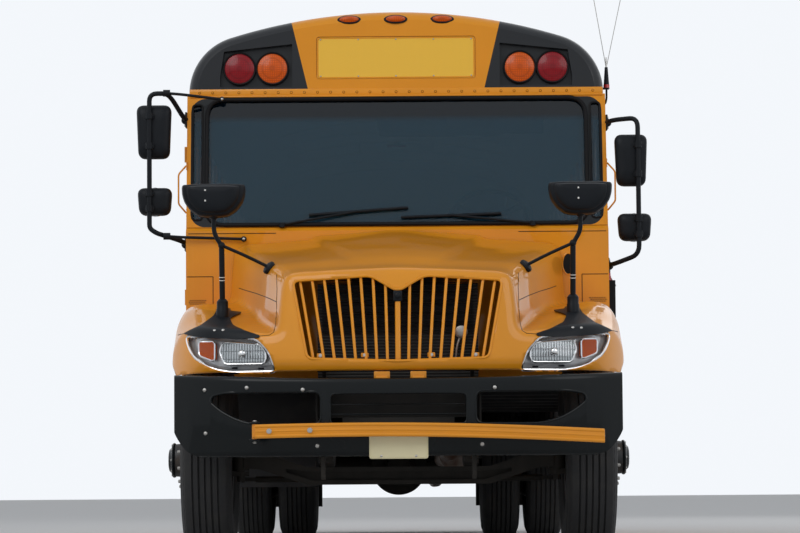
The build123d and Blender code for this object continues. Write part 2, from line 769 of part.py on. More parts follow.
# Crossing arm: a ribbed bar with a barrel at one end, on an upright pin between the bumper's lugs
arm_tip_x = 1062
with BuildPart() as crossing_arm:
    block((arm_hinge_x, arm_tip_x), (nose_y, nose_y + arm_thickness), arm_z)
    groove = ((arm_hinge_x + 60, arm_tip_x - 20), (nose_y - 1, nose_y + 6), (arm_z[0] + 28, arm_z[1] - 28))
    block(*groove, mode=Mode.SUBTRACT)
    with BuildSketch(Plane.XY.offset(arm_z[0])):
        with Locations((arm_hinge_x, arm_hinge_y)):
            Circle(arm_barrel)
    extrude(amount=arm_z[1] - arm_z[0])
    with BuildSketch(Plane.XY.offset(arm_z[0] - lug_thickness - 6)):
        with Locations((arm_hinge_x, arm_hinge_y)):
            Circle(8)
    extrude(amount=arm_z[1] - arm_z[0] + 2 * lug_thickness + 12)
finish(crossing_arm.part, "crossing_arm")

# Rear bumper: a straight channel wrapped round the tail's corners
with BuildPart() as rear_bumper:
    block((-half_body, half_body), (rear_face_y, tail_y), (520, 760))
    edges_upright = rear_bumper.edges().filter_by(Axis.Z).group_by(Axis.Y)[-1]
    fillet(edges_upright, 60)
    block((-half_body + 12, half_body - 12), (rear_face_y - 1, tail_y - 12), (532, 748), mode=Mode.SUBTRACT)
finish(rear_bumper.part, "rear_bumper")

# Warning lamps: red outboard and amber inboard, four at each end, each on the floor of its pocket
lamp_length = 40
rear_lamp_z = 2790
lamp_places = ((cap_front_y + lamp_pocket, lamp_centre_z, -1), (rear_face_y, rear_lamp_z, 1))
with BuildPart() as warning_lamps:
    for lamp_x in (-red_lamp_x, -amber_lamp_x, amber_lamp_x, red_lamp_x):
        for station, height, away in lamp_places:
            with BuildSketch(across(station)):
                with Locations((lamp_x, height)):
                    Circle(lamp_radius)
            extrude(amount=-away * lamp_length)
finish(warning_lamps.part, "warning_lamps")

# Front axle: a dropped beam of I-section between the kingpin bosses
beam_depth = 96
boss_radius = 46
boss_height = 120
beam_outline = ((0, -140), (500, -140), (760, -56), (kingpin_x - 20, -46))
beam_top = [(x, z + beam_depth) for x, z in reversed(beam_outline)]
kingpin_radius = 22
with BuildPart() as front_axle:
    beam = full_outline(beam_outline + tuple(beam_top))
    add(front_prism([(x, hub_z + z) for x, z in beam], (front_axle_y - 55, front_axle_y + 55)))
    recess = [(x, hub_z + z) for x, z in full_outline(((0, -116), (470, -116), (620, -70), (620, -52), (470, -68), (0, -68)))]
    for low, high in ((-56, -16), (16, 56)):
        add(front_prism(recess, (front_axle_y + low, front_axle_y + high)), mode=Mode.SUBTRACT)
    for side in (-1, 1):
        with BuildSketch(Plane.XY.offset(hub_z - boss_height / 2)):
            with Locations((side * kingpin_x, front_axle_y)):
                Circle(boss_radius)
        extrude(amount=boss_height)
        with BuildSketch(Plane.XY.offset(hub_z - boss_height)):
            with Locations((side * kingpin_x, front_axle_y)):
                Circle(kingpin_radius)
        extrude(amount=2 * boss_height)
finish(front_axle.part, "front_axle")

# Steering knuckles: a yoke round each boss, a spindle for the wheel and an arm for the tie rod
yoke_gap = 4
yoke_thickness = 26
spindle_length = 300
for side, name in ((1, "left_knuckle"), (-1, "right_knuckle")):
    pin_x = side * kingpin_x
    with BuildPart() as knuckle:
        for low_z in (hub_z - boss_height / 2 - yoke_gap - yoke_thickness, hub_z + boss_height / 2 + yoke_gap):
            with BuildSketch(Plane.XY.offset(low_z)):
                with Locations((pin_x, front_axle_y)):
                    Circle(boss_radius)
                with Locations((pin_x + side * 40, front_axle_y)):
                    Rectangle(80, 2 * boss_radius)
                with Locations((pin_x, front_axle_y)):
                    Circle(kingpin_radius + pin_gap, mode=Mode.SUBTRACT)
            extrude(amount=yoke_thickness)
        plate_z = boss_height / 2 + yoke_gap + yoke_thickness
        plate_x = sorted((pin_x + side * (boss_radius + 5), pin_x + side * 80))
        block(plate_x, (front_axle_y - 70, front_axle_y + 70), (hub_z - plate_z, hub_z + plate_z))
        with BuildSketch(along(pin_x + side * 80)):
            with Locations((front_axle_y, hub_z)):
                Circle(spindle_radius)
        extrude(amount=side * (spindle_length - 80))
        low_z = hub_z - boss_height / 2 - yoke_gap - yoke_thickness
        with BuildSketch(Plane.XY.offset(low_z)):
            with Locations((pin_x, front_axle_y + steering_arm / 2 + 20)):
                Rectangle(36, steering_arm - 40)
            with Locations((pin_x, front_axle_y + steering_arm)):
                Circle(20)
        extrude(amount=yoke_thickness)
        with BuildSketch(Plane.XY.offset(low_z - 34)):
            with Locations((pin_x, front_axle_y + steering_arm)):
                Circle(9)
        extrude(amount=40)
    finish(knuckle.part, name)

# Tie rod: a tube between two eyes, under the steering arms
tie_rod_z = hub_z - boss_height / 2 - yoke_gap - yoke_thickness - 28
tie_rod_y = front_axle_y + steering_arm
with BuildPart() as tie_rod:
    with BuildSketch(Plane.XY.offset(tie_rod_z)):
        for side in (-1, 1):
            with Locations((side * kingpin_x, tie_rod_y)):
                Circle(20)
            with Locations((side * (kingpin_x - 50), tie_rod_y)):
                Rectangle(80, 26)
        for side in (-1, 1):
            with Locations((side * kingpin_x, tie_rod_y)):
                Circle(9 + pin_gap, mode=Mode.SUBTRACT)
    extrude(amount=22)
    with BuildSketch(along(-kingpin_x + 70)):
        with Locations((tie_rod_y, tie_rod_z + 11)):
            Circle(17)
    extrude(amount=2 * (kingpin_x - 70))
finish(tie_rod.part, "tie_rod")

# Rear axle: tubes, a banjo housing round the differential and a spindle for each pair of wheels
with BuildPart() as rear_axle:
    with BuildSketch(along(-rear_tyre_x - 190)):
        with Locations((rear_axle_y, hub_z)):
            Circle(spindle_radius + 20)
    extrude(amount=2 * (rear_tyre_x + 190))
    with BuildSketch(along(-600)):
        with Locations((rear_axle_y, hub_z)):
            Circle(84)
    extrude(amount=1200)
    with BuildSketch(across(rear_axle_y)) as banjo:
        with Locations((0, hub_z)):
            Circle(205)
    extrude(amount=110, both=True)
    with BuildSketch(across(rear_axle_y - 110)):
        with Locations((0, hub_z)):
            Circle(120)
    extrude(amount=110, taper=18)
finish(rear_axle.part, "rear_axle")

# Leaf springs: four packs of three arched leaves, clamped on the axles and hung under the rails
# station, length, height of the seat on the axle, distance from the middle, height of the eyes
spring_table = (
    (front_axle_y, 1320, hub_z - 140 + beam_depth, rail_outer_x - 38, rail_bottom_z - 8),
    (rear_axle_y, 1480, hub_z + 84, rail_outer_x + 50, rail_bottom_z + 99),
)
with BuildPart() as leaf_springs:
    for axle_y, length, seat_z, spring_x, eye_z in spring_table:
        for side in (-1, 1):
            x_low = side * spring_x - spring_width / 2
            drop = eye_z - seat_z - leaf_count * leaf_sheet
            bend = (length**2 / 4 + drop**2) / (2 * drop)
            for number in range(leaf_count):
                half = length / 2 * (1 - 0.28 * number)
                rise = bend - math.sqrt(bend**2 - half**2)
                low_z = seat_z + (leaf_count - 1 - number) * leaf_sheet
                with BuildSketch(along(x_low)):
                    with BuildLine():
                        low = ((axle_y - half, low_z + rise), (axle_y, low_z), (axle_y + half, low_z + rise))
                        high = [(y, z + leaf_sheet) for y, z in low]
                        ThreePointArc(*low)
                        Line(low[2], high[2])
                        ThreePointArc(*reversed(high))
                        Line(high[0], low[0])
                    make_face()
                extrude(amount=spring_width)
finish(leaf_springs.part, "leaf_springs")

# Tyres and rims. Profiles are (distance from the tyre's middle, radius), turned about the axle.
tyre_half = tyre_width / 2
widest_radius = (bead_radius + tyre_radius) / 2 + 16
tyre_profile = ((-104, bead_radius), (-tyre_half, widest_radius), (-108, tyre_radius))
rim_half = 112
rim_sheet = 14
front_hub_reach = 205


def wheel_place(side, centre_x, axle_y):
    """A plane on the axle line whose X axis points out of the bus and whose Y axis points up."""
    return Plane(origin=(side * centre_x, axle_y, hub_z), x_dir=(side, 0, 0), z_dir=(0, -side, 0))


def turned(points, place):
    """The ring or disc that a closed profile makes when it turns about the axle."""
    with BuildPart() as ring:
        with BuildSketch(place):
            with BuildLine():
                Polyline(*points, close=True)
            make_face()
        revolve(axis=Axis(place.origin, place.x_dir))
    return ring.part


tyre_outline = list(tyre_profile) + [(-x, r) for x, r in reversed(tyre_profile)]
hub_bore = spindle_radius + 2
front_rim_outline = (
    (-rim_half, bead_radius),
    (rim_half, bead_radius),
    (rim_half - 4, bead_radius - rim_sheet),
    (30, bead_radius - rim_sheet),
    (128, 175),
    (150, 92),
    (front_hub_reach, 88),
    (front_hub_reach, 0),
    (front_hub_reach - 40, 0),
    (front_hub_reach - 40, hub_bore),
    (-40, hub_bore),
    (-40, 80),
    (118, 100),
    (104, 168),
    (4, bead_radius - rim_sheet),
    (-rim_half + 4, bead_radius - rim_sheet),
)
for side, name in ((1, "left"), (-1, "right")):
    place = wheel_place(side, front_tyre_x, front_axle_y)
    finish(turned(tyre_outline, place), "front_" + name + "_tyre")
    with BuildPart() as front_rim:
        add(turned(front_rim_outline, place))
        with BuildSketch(along(side * (front_tyre_x - 20))):
            with Locations((front_axle_y, hub_z)):
                with PolarLocations(222, 10):
                    Circle(26)
        extrude(amount=side * 260, mode=Mode.SUBTRACT)
    finish(front_rim.part, "front_" + name + "_rim")

# Rear twin wheels: two rims bolted back to back on one hub, and two tyres a side
rear_bore = spindle_radius + 22
half_dual = dual_spacing / 2
rear_rim_outline = (
    (half_dual - rim_half, bead_radius),
    (half_dual + rim_half, bead_radius),
    (half_dual + rim_half - 4, bead_radius - rim_sheet),
    (half_dual - 30, bead_radius - rim_sheet),
    (14, 180),
    (14, 120),
    (150, 112),
    (170, 100),
    (170, rear_bore),
    (-120, rear_bore),
    (-120, 112),
    (-14, 120),
    (-14, 180),
    (-half_dual + 30, bead_radius - rim_sheet),
    (-half_dual - rim_half + 4, bead_radius - rim_sheet),
    (-half_dual - rim_half, bead_radius),
    (-half_dual + rim_half, bead_radius),
    (-half_dual + rim_half - 4, bead_radius - rim_sheet),
    (-half_dual + 50, bead_radius - rim_sheet),
    (-6, 205),
    (6, 205),
    (half_dual - 50, bead_radius - rim_sheet),
    (half_dual - rim_half + 4, bead_radius - rim_sheet),
)
for side, name in ((1, "left"), (-1, "right")):
    place = wheel_place(side, rear_tyre_x, rear_axle_y)
    with BuildPart() as twin_tyres:
        for offset_x in (-half_dual, half_dual):
            add(turned([(x + offset_x, r) for x, r in tyre_outline], place))
    finish(twin_tyres.part, "rear_" + name + "_tyres")
    with BuildPart() as twin_rims:
        add(turned(rear_rim_outline, place))
    finish(twin_rims.part, "rear_" + name + "_rims")

# Engine block, radiator and drive line
engine_front_y = hood_nose_y + 430
engine_y = (engine_front_y, cowl_y - 40)
with BuildPart() as engine:
    block((-300, 300), engine_y, (700, 1430))
    block((-250, 250), (engine_front_y + 60, cowl_y - 120), (1430, 1520))
finish(engine.part, "engine")
with BuildPart() as radiator:
    block((-425, 425), (engine_front_y - 190, engine_front_y - 110), (rail_top_z, 1440))
finish(radiator.part, "radiator")
shaft_z = hub_z + 140
shaft_front_y = cowl_y + 620
with BuildPart() as drive_shaft:
    block((-170, 170), (cowl_y - 30, shaft_front_y), (shaft_z - 41, shaft_z + 239))
    for low, high, radius in ((shaft_front_y, 0, 48), (0, rear_axle_y - 260, 48), (-40, 40, 70)):
        with BuildSketch(across(low)):
            with Locations((0, shaft_z)):
                Circle(radius)
        extrude(amount=low - high)
finish(drive_shaft.part, "drive_shaft")

# Fuel tank on the driver's side and the exhaust with its muffler
tank_y = (cab_side_y + 1500, cab_side_y + 2700)
with BuildPart() as fuel_tank:
    with BuildSketch(across(tank_y[0])):
        with Locations((-(rail_outer_x + inner_half) / 2 - 40, 720)):
            RectangleRounded(560, 380, 60)
    extrude(amount=tank_y[0] - tank_y[1])
finish(fuel_tank.part, "fuel_tank")
pipe_x = 300
pipe_z = 565
pipe_radius = 45
muffler_radius = 92
muffler_x = pipe_x + muffler_radius - pipe_radius - 2
pipe_route = (
    (pipe_x, cowl_y + 200, pipe_z),
    (pipe_x, rear_axle_y - 900, pipe_z),
    (pipe_x, rear_axle_y - 420, 800),
    (pipe_x, rear_axle_y + 420, 800),
    (pipe_x, rear_axle_y + 900, pipe_z),
    (pipe_x, rear_axle_y + 1500, skirt_z - pipe_radius - 12),
    (pipe_x, tail_y - 60, skirt_z - pipe_radius - 12),
)
with BuildPart() as exhaust:
    with BuildLine():
        FilletPolyline(*pipe_route, radius=260)
    with BuildSketch(across(pipe_route[0][1])):
        with Locations((pipe_x, pipe_z)):
            Circle(pipe_radius)
    sweep()
    with BuildSketch(across(cowl_y + 1500)):
        with Locations((muffler_x, pipe_z)):
            Circle(muffler_radius)
    extrude(amount=-1100)
finish(exhaust.part, "exhaust")

# Mud flaps behind the rear tyres
with BuildPart() as mud_flaps:
    for side in (-1, 1):
        flap_y = rear_axle_y + rear_arch_radius + 60
        flap_x = sorted((side * (house_inner_x + 10), side * (inner_half - 6)))
        block(flap_x, (flap_y, flap_y + 10), (230, floor_bottom_z))
finish(mud_flaps.part, "mud_flaps")

# Entrance door: two leaves that swing outwards on hinges at the doorway's edges
leaf_bottom_z = step_bottom_z + 12
leaf_top_z = doorway_top_z - leaf_gap
leaf_width = (doorway_width - 2 * leaf_gap - meeting_gap) / 2
leaf_glass_z = ((leaf_bottom_z + 130, 1180), (1290, leaf_top_z - 90))
hinge_out = 12
hinge_radius = 11
leaf_x = (-half_body, -half_body + leaf_thickness)
leaf_places = (
    ("entrance_front_leaf", "entrance_front_glass", doorway_front_y + leaf_gap, 1),
    ("entrance_rear_leaf", "entrance_rear_glass", doorway_rear_y - leaf_gap, -1),
)
for name, glass_name, hinge_y, direction in leaf_places:
    with BuildPart() as leaf:
        block(leaf_x, sorted((hinge_y, hinge_y + direction * leaf_width)), (leaf_bottom_z, leaf_top_z))
        middle_y = hinge_y + direction * leaf_width / 2
        with BuildSketch(along(-half_body - 1)):
            for low, high in leaf_glass_z:
                with Locations((middle_y, (low + high) / 2)):
                    RectangleRounded(leaf_width - 110, high - low, 30)
        extrude(amount=leaf_thickness + 2, mode=Mode.SUBTRACT)
        for hinge_z in (leaf_bottom_z + 200, (leaf_bottom_z + leaf_top_z) / 2, leaf_top_z - 200):
            with BuildSketch(Plane.XY.offset(hinge_z)):
                with Locations((-half_body - hinge_out, hinge_y)):
                    Circle(hinge_radius)
                with Locations((-half_body - hinge_out / 2, hinge_y + direction * 20)):
                    Rectangle(hinge_out, 40)
            extrude(amount=90)
    finish(leaf.part, name)
    with BuildPart() as panes:
        with BuildSketch(along(-half_body + (leaf_thickness - glass) / 2)):
            for low, high in leaf_glass_z:
                with Locations((middle_y, (low + high) / 2)):
                    RectangleRounded(leaf_width - 110 - 2 * pane_gap, high - low - 2 * pane_gap, 29)
        extrude(amount=glass)
    finish(panes.part, glass_name)

# Rear emergency door, hinged on its edge away from the driver's side
door_z = (floor_z + leaf_gap, rear_door_top_z - leaf_gap)
door_half = rear_door_width / 2 - leaf_gap
door_glass_z = ((floor_z + 130, floor_z + 560), (belt_z + window_sill, belt_z + window_sill + window_height - 60))
with BuildPart() as rear_door:
    block((-door_half, door_half), (rear_inner_y, rear_face_y), door_z)
    with BuildSketch(across(rear_inner_y - 1)):
        for low, high in door_glass_z:
            with Locations((0, (low + high) / 2)):
                RectangleRounded(rear_door_width - 200, high - low, 40)
    extrude(amount=-wall - 2, mode=Mode.SUBTRACT)
    for hinge_z in (door_z[0] + 160, (door_z[0] + door_z[1]) / 2, door_z[1] - 240):
        with BuildSketch(Plane.XY.offset(hinge_z)):
            with Locations((-door_half, rear_face_y + hinge_out)):
                Circle(hinge_radius)
            with Locations((-door_half + 20, rear_face_y + hinge_out / 2)):
                Rectangle(40, hinge_out)
        extrude(amount=90)
    block((door_half - 110, door_half - 70), (rear_face_y, rear_face_y + 34), (belt_z - 230, belt_z - 60))
finish(rear_door.part, "rear_door")
with BuildPart() as rear_door_glass:
    with BuildSketch(across(rear_inner_y + (wall - glass) / 2)):
        for low, high in door_glass_z:
            with Locations((0, (low + high) / 2)):
                RectangleRounded(rear_door_width - 200 - 2 * pane_gap, high - low - 2 * pane_gap, 39)
    extrude(amount=-glass)
finish(rear_door_glass.part, "rear_door_glass")

# Roof hatches: shallow lids on the coamings, hinged along their front edges
lid_height = 26
for number, station in enumerate(hatch_stations):
    with BuildPart() as lid:
        with BuildSketch(Plane.XY.offset(coaming_z + 2)):
            with Locations((0, station)):
                RectangleRounded(hatch_size + 50, hatch_size + 50, 60)
        extrude(amount=lid_height, taper=35)
        with BuildSketch(Plane.XY.offset(coaming_z + 2)):
            with Locations((0, station)):
                RectangleRounded(hatch_size - 60, hatch_size - 60, 40)
        extrude(amount=lid_height - 10, mode=Mode.SUBTRACT)
        lid_edge_y = station - hatch_size / 2 - 25
        hinge_y = station - hatch_size / 2 - hatch_hinge_out
        for side in (-1, 1):
            with BuildSketch(along(side * (hatch_hinge_x - 6))):
                with Locations(((lid_edge_y + 20 + hinge_y) / 2, hatch_hinge_z)):
                    Rectangle(lid_edge_y + 20 - hinge_y, 14)
                with Locations((hinge_y, hatch_hinge_z)):
                    Circle(8)
                with Locations((hinge_y, hatch_hinge_z)):
                    Circle(hatch_pin + pin_gap, mode=Mode.SUBTRACT)
            extrude(amount=-side * 36)
    finish(lid.part, ("front", "rear")[number] + "_roof_hatch")

# Stop arm: a housing on the wall below the driver's window and an octagonal blade on its hinge
stop_z = 1430
stop_hinge_y = doorway_front_y + 60
stop_across = 457
stop_hinge_x = half_body + 34
with BuildPart() as stop_arm_housing:
    block((half_body, half_body + 50), (stop_hinge_y - 90, stop_hinge_y - 24), (stop_z - 130, stop_z + 130))
    for lug_z in (stop_z - 118, stop_z + 106):
        with BuildSketch(Plane.XY.offset(lug_z)):
            with Locations((half_body + 25, stop_hinge_y - 14)):
                Rectangle(50, 26)
            with Locations((stop_hinge_x, stop_hinge_y)):
                Circle(14)
            with Locations((stop_hinge_x, stop_hinge_y)):
                Circle(6 + pin_gap, mode=Mode.SUBTRACT)
        extrude(amount=12)
finish(stop_arm_housing.part, "stop_arm_housing")
with BuildPart() as stop_arm:
    with BuildSketch(along(stop_hinge_x - 4)):
        with Locations((stop_hinge_y + 60 + stop_across / 2, stop_z)):
            RegularPolygon(stop_across / 2, 8, major_radius=False, rotation=22.5)
        with Locations((stop_hinge_y + 60, stop_z)):
            Rectangle(120, 150)
    extrude(amount=8)
    with BuildSketch(Plane.XY.offset(stop_z - 100)):
        with Locations((stop_hinge_x, stop_hinge_y)):
            Circle(11)
    extrude(amount=200)
    with BuildSketch(Plane.XY.offset(stop_z - 122)):
        with Locations((stop_hinge_x, stop_hinge_y)):
            Circle(6)
    extrude(amount=244)
finish(stop_arm.part, "stop_arm")

# Dashboard, steering column and wheel, and the driver's seat
driver_x = 545
dash_depth = 330
wheel_centre = (driver_x, cowl_inner_y + 510, 1950)
wheel_radius = 230
spoke_length = wheel_radius - 4
column_lean = math.radians(42)
column_length = 330
column_axis = Plane(
    origin=wheel_centre,
    x_dir=(1, 0, 0),
    z_dir=(0, math.sin(column_lean), math.cos(column_lean)),
)
with BuildPart() as dashboard:
    dash_outline = (
        (cowl_inner_y, 1240),
        (cowl_inner_y, 1800),
        (cowl_inner_y + 150, 1810),
        (cowl_inner_y + dash_depth, 1730),
        (cowl_inner_y + dash_depth - 20, 1560),
        (cowl_inner_y + 170, 1500),
        (cowl_inner_y + 120, 1240),
    )
    add(side_prism(dash_outline, (-560, inner_half)))
    with BuildSketch(column_axis.offset(-column_length)):
        Circle(38)
    extrude(amount=column_length - 50)
finish(dashboard.part, "dashboard")
with BuildPart() as steering_wheel:
    with BuildSketch(Plane(origin=wheel_centre, x_dir=(1, 0, 0), z_dir=column_axis.y_dir)):
        with Locations((wheel_radius, 0)):
            Circle(14)
    revolve(axis=Axis(wheel_centre, column_axis.z_dir))
    with BuildSketch(column_axis.offset(-40)):
        Circle(52)
    extrude(amount=50)
    with BuildSketch(column_axis.offset(-5)):
        for spoke_angle in (0, 120, 240):
            with Locations(Rotation(0, 0, 90 + spoke_angle) * Location((spoke_length / 2, 0))):
                Rectangle(spoke_length, 34)
    extrude(amount=10)
finish(steering_wheel.part, "steering_wheel")
driver_seat_y = wheel_centre[1] + 290
with BuildPart() as driver_seat:
    block((driver_x - 250, driver_x + 250), (driver_seat_y, driver_seat_y + 480), (floor_z + 420, floor_z + 540))
    fillet(driver_seat.edges().filter_by(Axis.X), 30)
    block((driver_x - 140, driver_x + 140), (driver_seat_y + 100, driver_seat_y + 400), (floor_z, floor_z + 420))
    back_outline = (
        (driver_seat_y + 430, floor_z + 500),
        (driver_seat_y + 530, floor_z + 500),
        (driver_seat_y + 620, floor_z + 1150),
        (driver_seat_y + 530, floor_z + 1150),
    )
    add(side_prism(back_outline, (driver_x - 235, driver_x + 235), 20))
finish(driver_seat.part, "driver_seat")

# Passenger benches: cushions, padded backs and steel legs, in rows that match the windows
bench_width = 960
bench_outer_x = inner_half - 12
cushion_depth = 400
cushion_thickness = 120
cushion_z = floor_z + 330
back_height = 610
back_thickness = 90
first_rows = {-1: 0, 1: 1}
bench_places = []
for side, first_row in first_rows.items():
    for row in range(first_row, window_count):
        bench_places.append((side, windows_start_y + (row + 1) * window_pitch - 160))
with BuildPart() as passenger_seats:
    for side, back_y in bench_places:
        bench_x = (side * bench_outer_x, side * (bench_outer_x - bench_width))
        seat_y = (back_y - cushion_depth, back_y)
        block(sorted(bench_x), seat_y, (cushion_z, cushion_z + cushion_thickness))
        back_outline = (
            (back_y + 2, cushion_z - 20),
            (back_y + back_thickness * 0.7, cushion_z - 20),
            (back_y + back_thickness * 0.7 + 60, cushion_z + back_height),
            (back_y + 42, cushion_z + back_height),
        )
        add(side_prism(back_outline, bench_x))
finish(passenger_seats.part, "passenger_seats")
with BuildPart() as seat_frames:
    for side, back_y in bench_places:
        leg_x = side * (bench_outer_x - bench_width + 150)
        with BuildSketch(along(leg_x - 15)):
            with BuildLine():
                Polyline(
                    (back_y - 40, cushion_z),
                    (back_y - 320, cushion_z),
                    (back_y - 350, floor_z),
                    (back_y - 310, floor_z),
                    (back_y - 285, cushion_z - 34),
                    (back_y - 75, cushion_z - 34),
                    (back_y - 50, floor_z),
                    (back_y - 10, floor_z),
                    close=True,
                )
            make_face()
        extrude(amount=30)
        rail_x = sorted((side * inner_half, side * (bench_outer_x - 30)))
        block(rail_x, (back_y - 340, back_y - 20), (cushion_z - 40, cushion_z))
finish(seat_frames.part, "seat_frames")


def rod(start, end, radius):
    """A round bar from one point to another."""
    direction = Vector(*end) - Vector(*start)
    with BuildPart() as bar:
        with BuildSketch(Plane(origin=start, z_dir=direction)):
            Circle(radius)
        extrude(amount=direction.length)
    return bar.part


def bent_tube(route, radius, bend):
    """A round tube along straight runs joined by arcs."""
    start = Vector(*route[0])
    with BuildPart() as tube:
        with BuildLine():
            FilletPolyline(*route, radius=bend)
        with BuildSketch(Plane(origin=start, z_dir=Vector(*route[1]) - start)):
            Circle(radius)
        sweep()
    return tube.part


# Rear-view mirrors: a bent tube on each front corner with a tall flat head above a small round one
mirror_y = cowl_y - 60
mirror_tube = 14
# side, then the tube, its top and foot, the tall head's x and z ranges and the small head's, with x counted
# outwards from the body's skin
mirror_table = (
    (-1, 195, 2640, 1880, (81, 285), (2261, 2572), (71, 281), (1935, 2095)),
    (1, 171, 2480, 1700, (28, 221), (2076, 2374), (35, 235), (1766, 1927)),
)
with BuildPart() as rearview_mirrors:
    for side, tube_out, top_z, foot_z, tall_x, tall_z, small_x, small_z in mirror_table:
        anchor_x = side * (half_body + 12)
        tube_x = side * (half_body + tube_out)
        route = (
            (anchor_x, cap_front_y + 40, top_z + 10),
            (tube_x, mirror_y, top_z),
            (tube_x, mirror_y, foot_z),
            (anchor_x, cowl_y + 70, foot_z - 30),
        )
        add(bent_tube(route, mirror_tube, 60))
        for flange_y, flange_z in ((cap_front_y + 40, top_z + 10), (cowl_y + 70, foot_z - 30)):
            with BuildSketch(along(side * half_body)):
                with Locations((flange_y, flange_z)):
                    RectangleRounded(70, 100, 12)
            extrude(amount=side * 8)
        for x_range, z_range in ((tall_x, tall_z), (small_x, small_z)):
            with BuildSketch(across(mirror_y - 34)):
                with Locations((side * (half_body + sum(x_range) / 2), sum(z_range) / 2)):
                    RectangleRounded(x_range[1] - x_range[0], z_range[1] - z_range[0], 34)
            extrude(amount=-62)
finish(rearview_mirrors.part, "rearview_mirrors")

# Cross-view mirrors: a bracket plate shaped to each fender, a post, a brace to the hood and a head
bracket_corners = ((373, 1161), (-8, 1190), (130, 1262), (138, 1354), (230, 1354), (250, 1262))
bracket_outline = [(lamp_outer_x - inboard, z) for inboard, z in bracket_corners]
post_x = lamp_outer_x - 185
post_foot = (hood_nose_y + 520, 1339)
post_bend = (hood_nose_y + 455, 1690)
head_centre = (post_x + 40, hood_nose_y + 400, 1908)
pad_place = (690, hood_nose_y + 392, 1548)
with BuildPart() as bracket_cut:
    for side in (-1, 1):
        add(front_prism(sided(bracket_outline, side), lamp_cut, 12))
with BuildPart() as crossview_mirrors:
    add((hood_form(-6) - hood_form(0)) & bracket_cut.part)
    for side in (-1, 1):
        bend = (side * post_x, *post_bend)
        add(rod((side * post_x, *post_foot), bend, 13))
        add(rod(bend, (side * head_centre[0], head_centre[1], head_centre[2]), 12))
        add(rod(bend, (side * pad_place[0], pad_place[1], pad_place[2]), 7))
        with BuildSketch(across(head_centre[1] - 62)):
            with Locations((side * head_centre[0], head_centre[2])):
                RectangleRounded(343, 176, 62)
        extrude(amount=-110)
finish(crossview_mirrors.part, "crossview_mirrors")


def on_glass(x, height, stand_off):
    """A point in front of the windshield, at offset x and the given height above its base."""
    up = height / math.cos(rake)
    lean = leaning.origin + leaning.y_dir * up + leaning.z_dir * stand_off
    return (x, lean.Y, lean.Z)


# Wipers: pivot offset, then each blade's ends as (x, height over the glass's base)
wiper_table = (
    (-665, (-509, 69), (64, 109)),
    (784, (23, 52), (603, 71)),
)
with BuildPart() as wipers:
    for pivot_x, inner_end, outer_end in wiper_table:
        pivot = (pivot_x, glass_base_y - 18, ledge_z + 28)
        add(rod((pivot[0], pivot[1], ledge_z + 38), (pivot[0], pivot[1], ledge_z + 62), 18))
        middle = [(a + b) / 2 for a, b in zip(inner_end, outer_end)]
        add(rod((pivot[0], pivot[1], ledge_z + 52), on_glass(*middle, 8), 7))
        add(rod(on_glass(*inner_end, 0), on_glass(*outer_end, 0), 9))
finish(wipers.part, "wipers")

# Antenna: a spring base on the driver's side of the front cap, with two thin whips
antenna_y = cap_front_y + 160
antenna_x = half_body + 20
whip_top_z = crown_z + 260
with BuildPart() as antenna:
    block((half_body, antenna_x + 12), (antenna_y - 14, antenna_y + 14), (2600, 2640))
    add(rod((antenna_x, antenna_y, 2630), (antenna_x, antenna_y, 2830), 13))
    for lean_x in (-100, 130):
        add(rod((antenna_x, antenna_y, 2820), (antenna_x + lean_x, antenna_y, whip_top_z), 3))
finish(antenna.part, "antenna")
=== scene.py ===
import math
import bmesh
import bpy
from itertools import product
from mathutils import Matrix, Vector
from mathutils.bvhtree import BVHTree


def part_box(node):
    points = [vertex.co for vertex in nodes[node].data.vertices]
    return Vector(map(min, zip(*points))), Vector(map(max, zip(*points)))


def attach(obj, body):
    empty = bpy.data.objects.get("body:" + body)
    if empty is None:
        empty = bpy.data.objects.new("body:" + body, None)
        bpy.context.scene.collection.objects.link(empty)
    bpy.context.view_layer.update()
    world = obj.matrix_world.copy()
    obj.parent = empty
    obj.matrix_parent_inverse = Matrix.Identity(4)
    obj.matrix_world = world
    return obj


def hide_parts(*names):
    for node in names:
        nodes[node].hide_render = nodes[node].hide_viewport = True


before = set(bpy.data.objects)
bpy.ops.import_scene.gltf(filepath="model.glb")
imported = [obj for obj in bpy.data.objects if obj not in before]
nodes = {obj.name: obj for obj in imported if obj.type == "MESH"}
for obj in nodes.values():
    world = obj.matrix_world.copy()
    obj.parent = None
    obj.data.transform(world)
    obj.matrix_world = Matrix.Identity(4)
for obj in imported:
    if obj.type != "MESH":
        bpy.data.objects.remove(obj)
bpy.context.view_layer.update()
scene = bpy.context.scene
axleY, rearAxleY = (sum(corner.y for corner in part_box(name)) / 2 for name in ("front_left_rim", "rear_left_rims"))
hubZ = sum(corner.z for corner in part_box("front_left_rim")) / 2
print("frame loaded:", len(nodes), "nodes")

# Camera: a long lens low on the road in front of the bus, as in the photograph
photo = {
    "lens": 137.4, "sensor": 36.0, "shift": 0.0032, "farthest": 400,
    "distance": 16.85,          # from the front axle
    "height": 0.341, "pitch": 4.215, "roll": 0.42,
}
lensData = bpy.data.cameras.new("roadCamera")
lensData.lens = photo["lens"]
lensData.sensor_width = photo["sensor"]
lensData.shift_x = photo["shift"]
lensData.clip_end = photo["farthest"]
roadCamera = bpy.data.objects.new("roadCamera", lensData)
scene.collection.objects.link(roadCamera)
roadCamera.matrix_world = (Matrix.Translation((0, axleY - photo["distance"], photo["height"]))
                           @ Matrix.Rotation(math.radians(90 + photo["pitch"]), 4, "X")
                           @ Matrix.Rotation(math.radians(-photo["roll"]), 4, "Z"))
scene.camera = roadCamera
scene.view_settings.view_transform = "Standard"


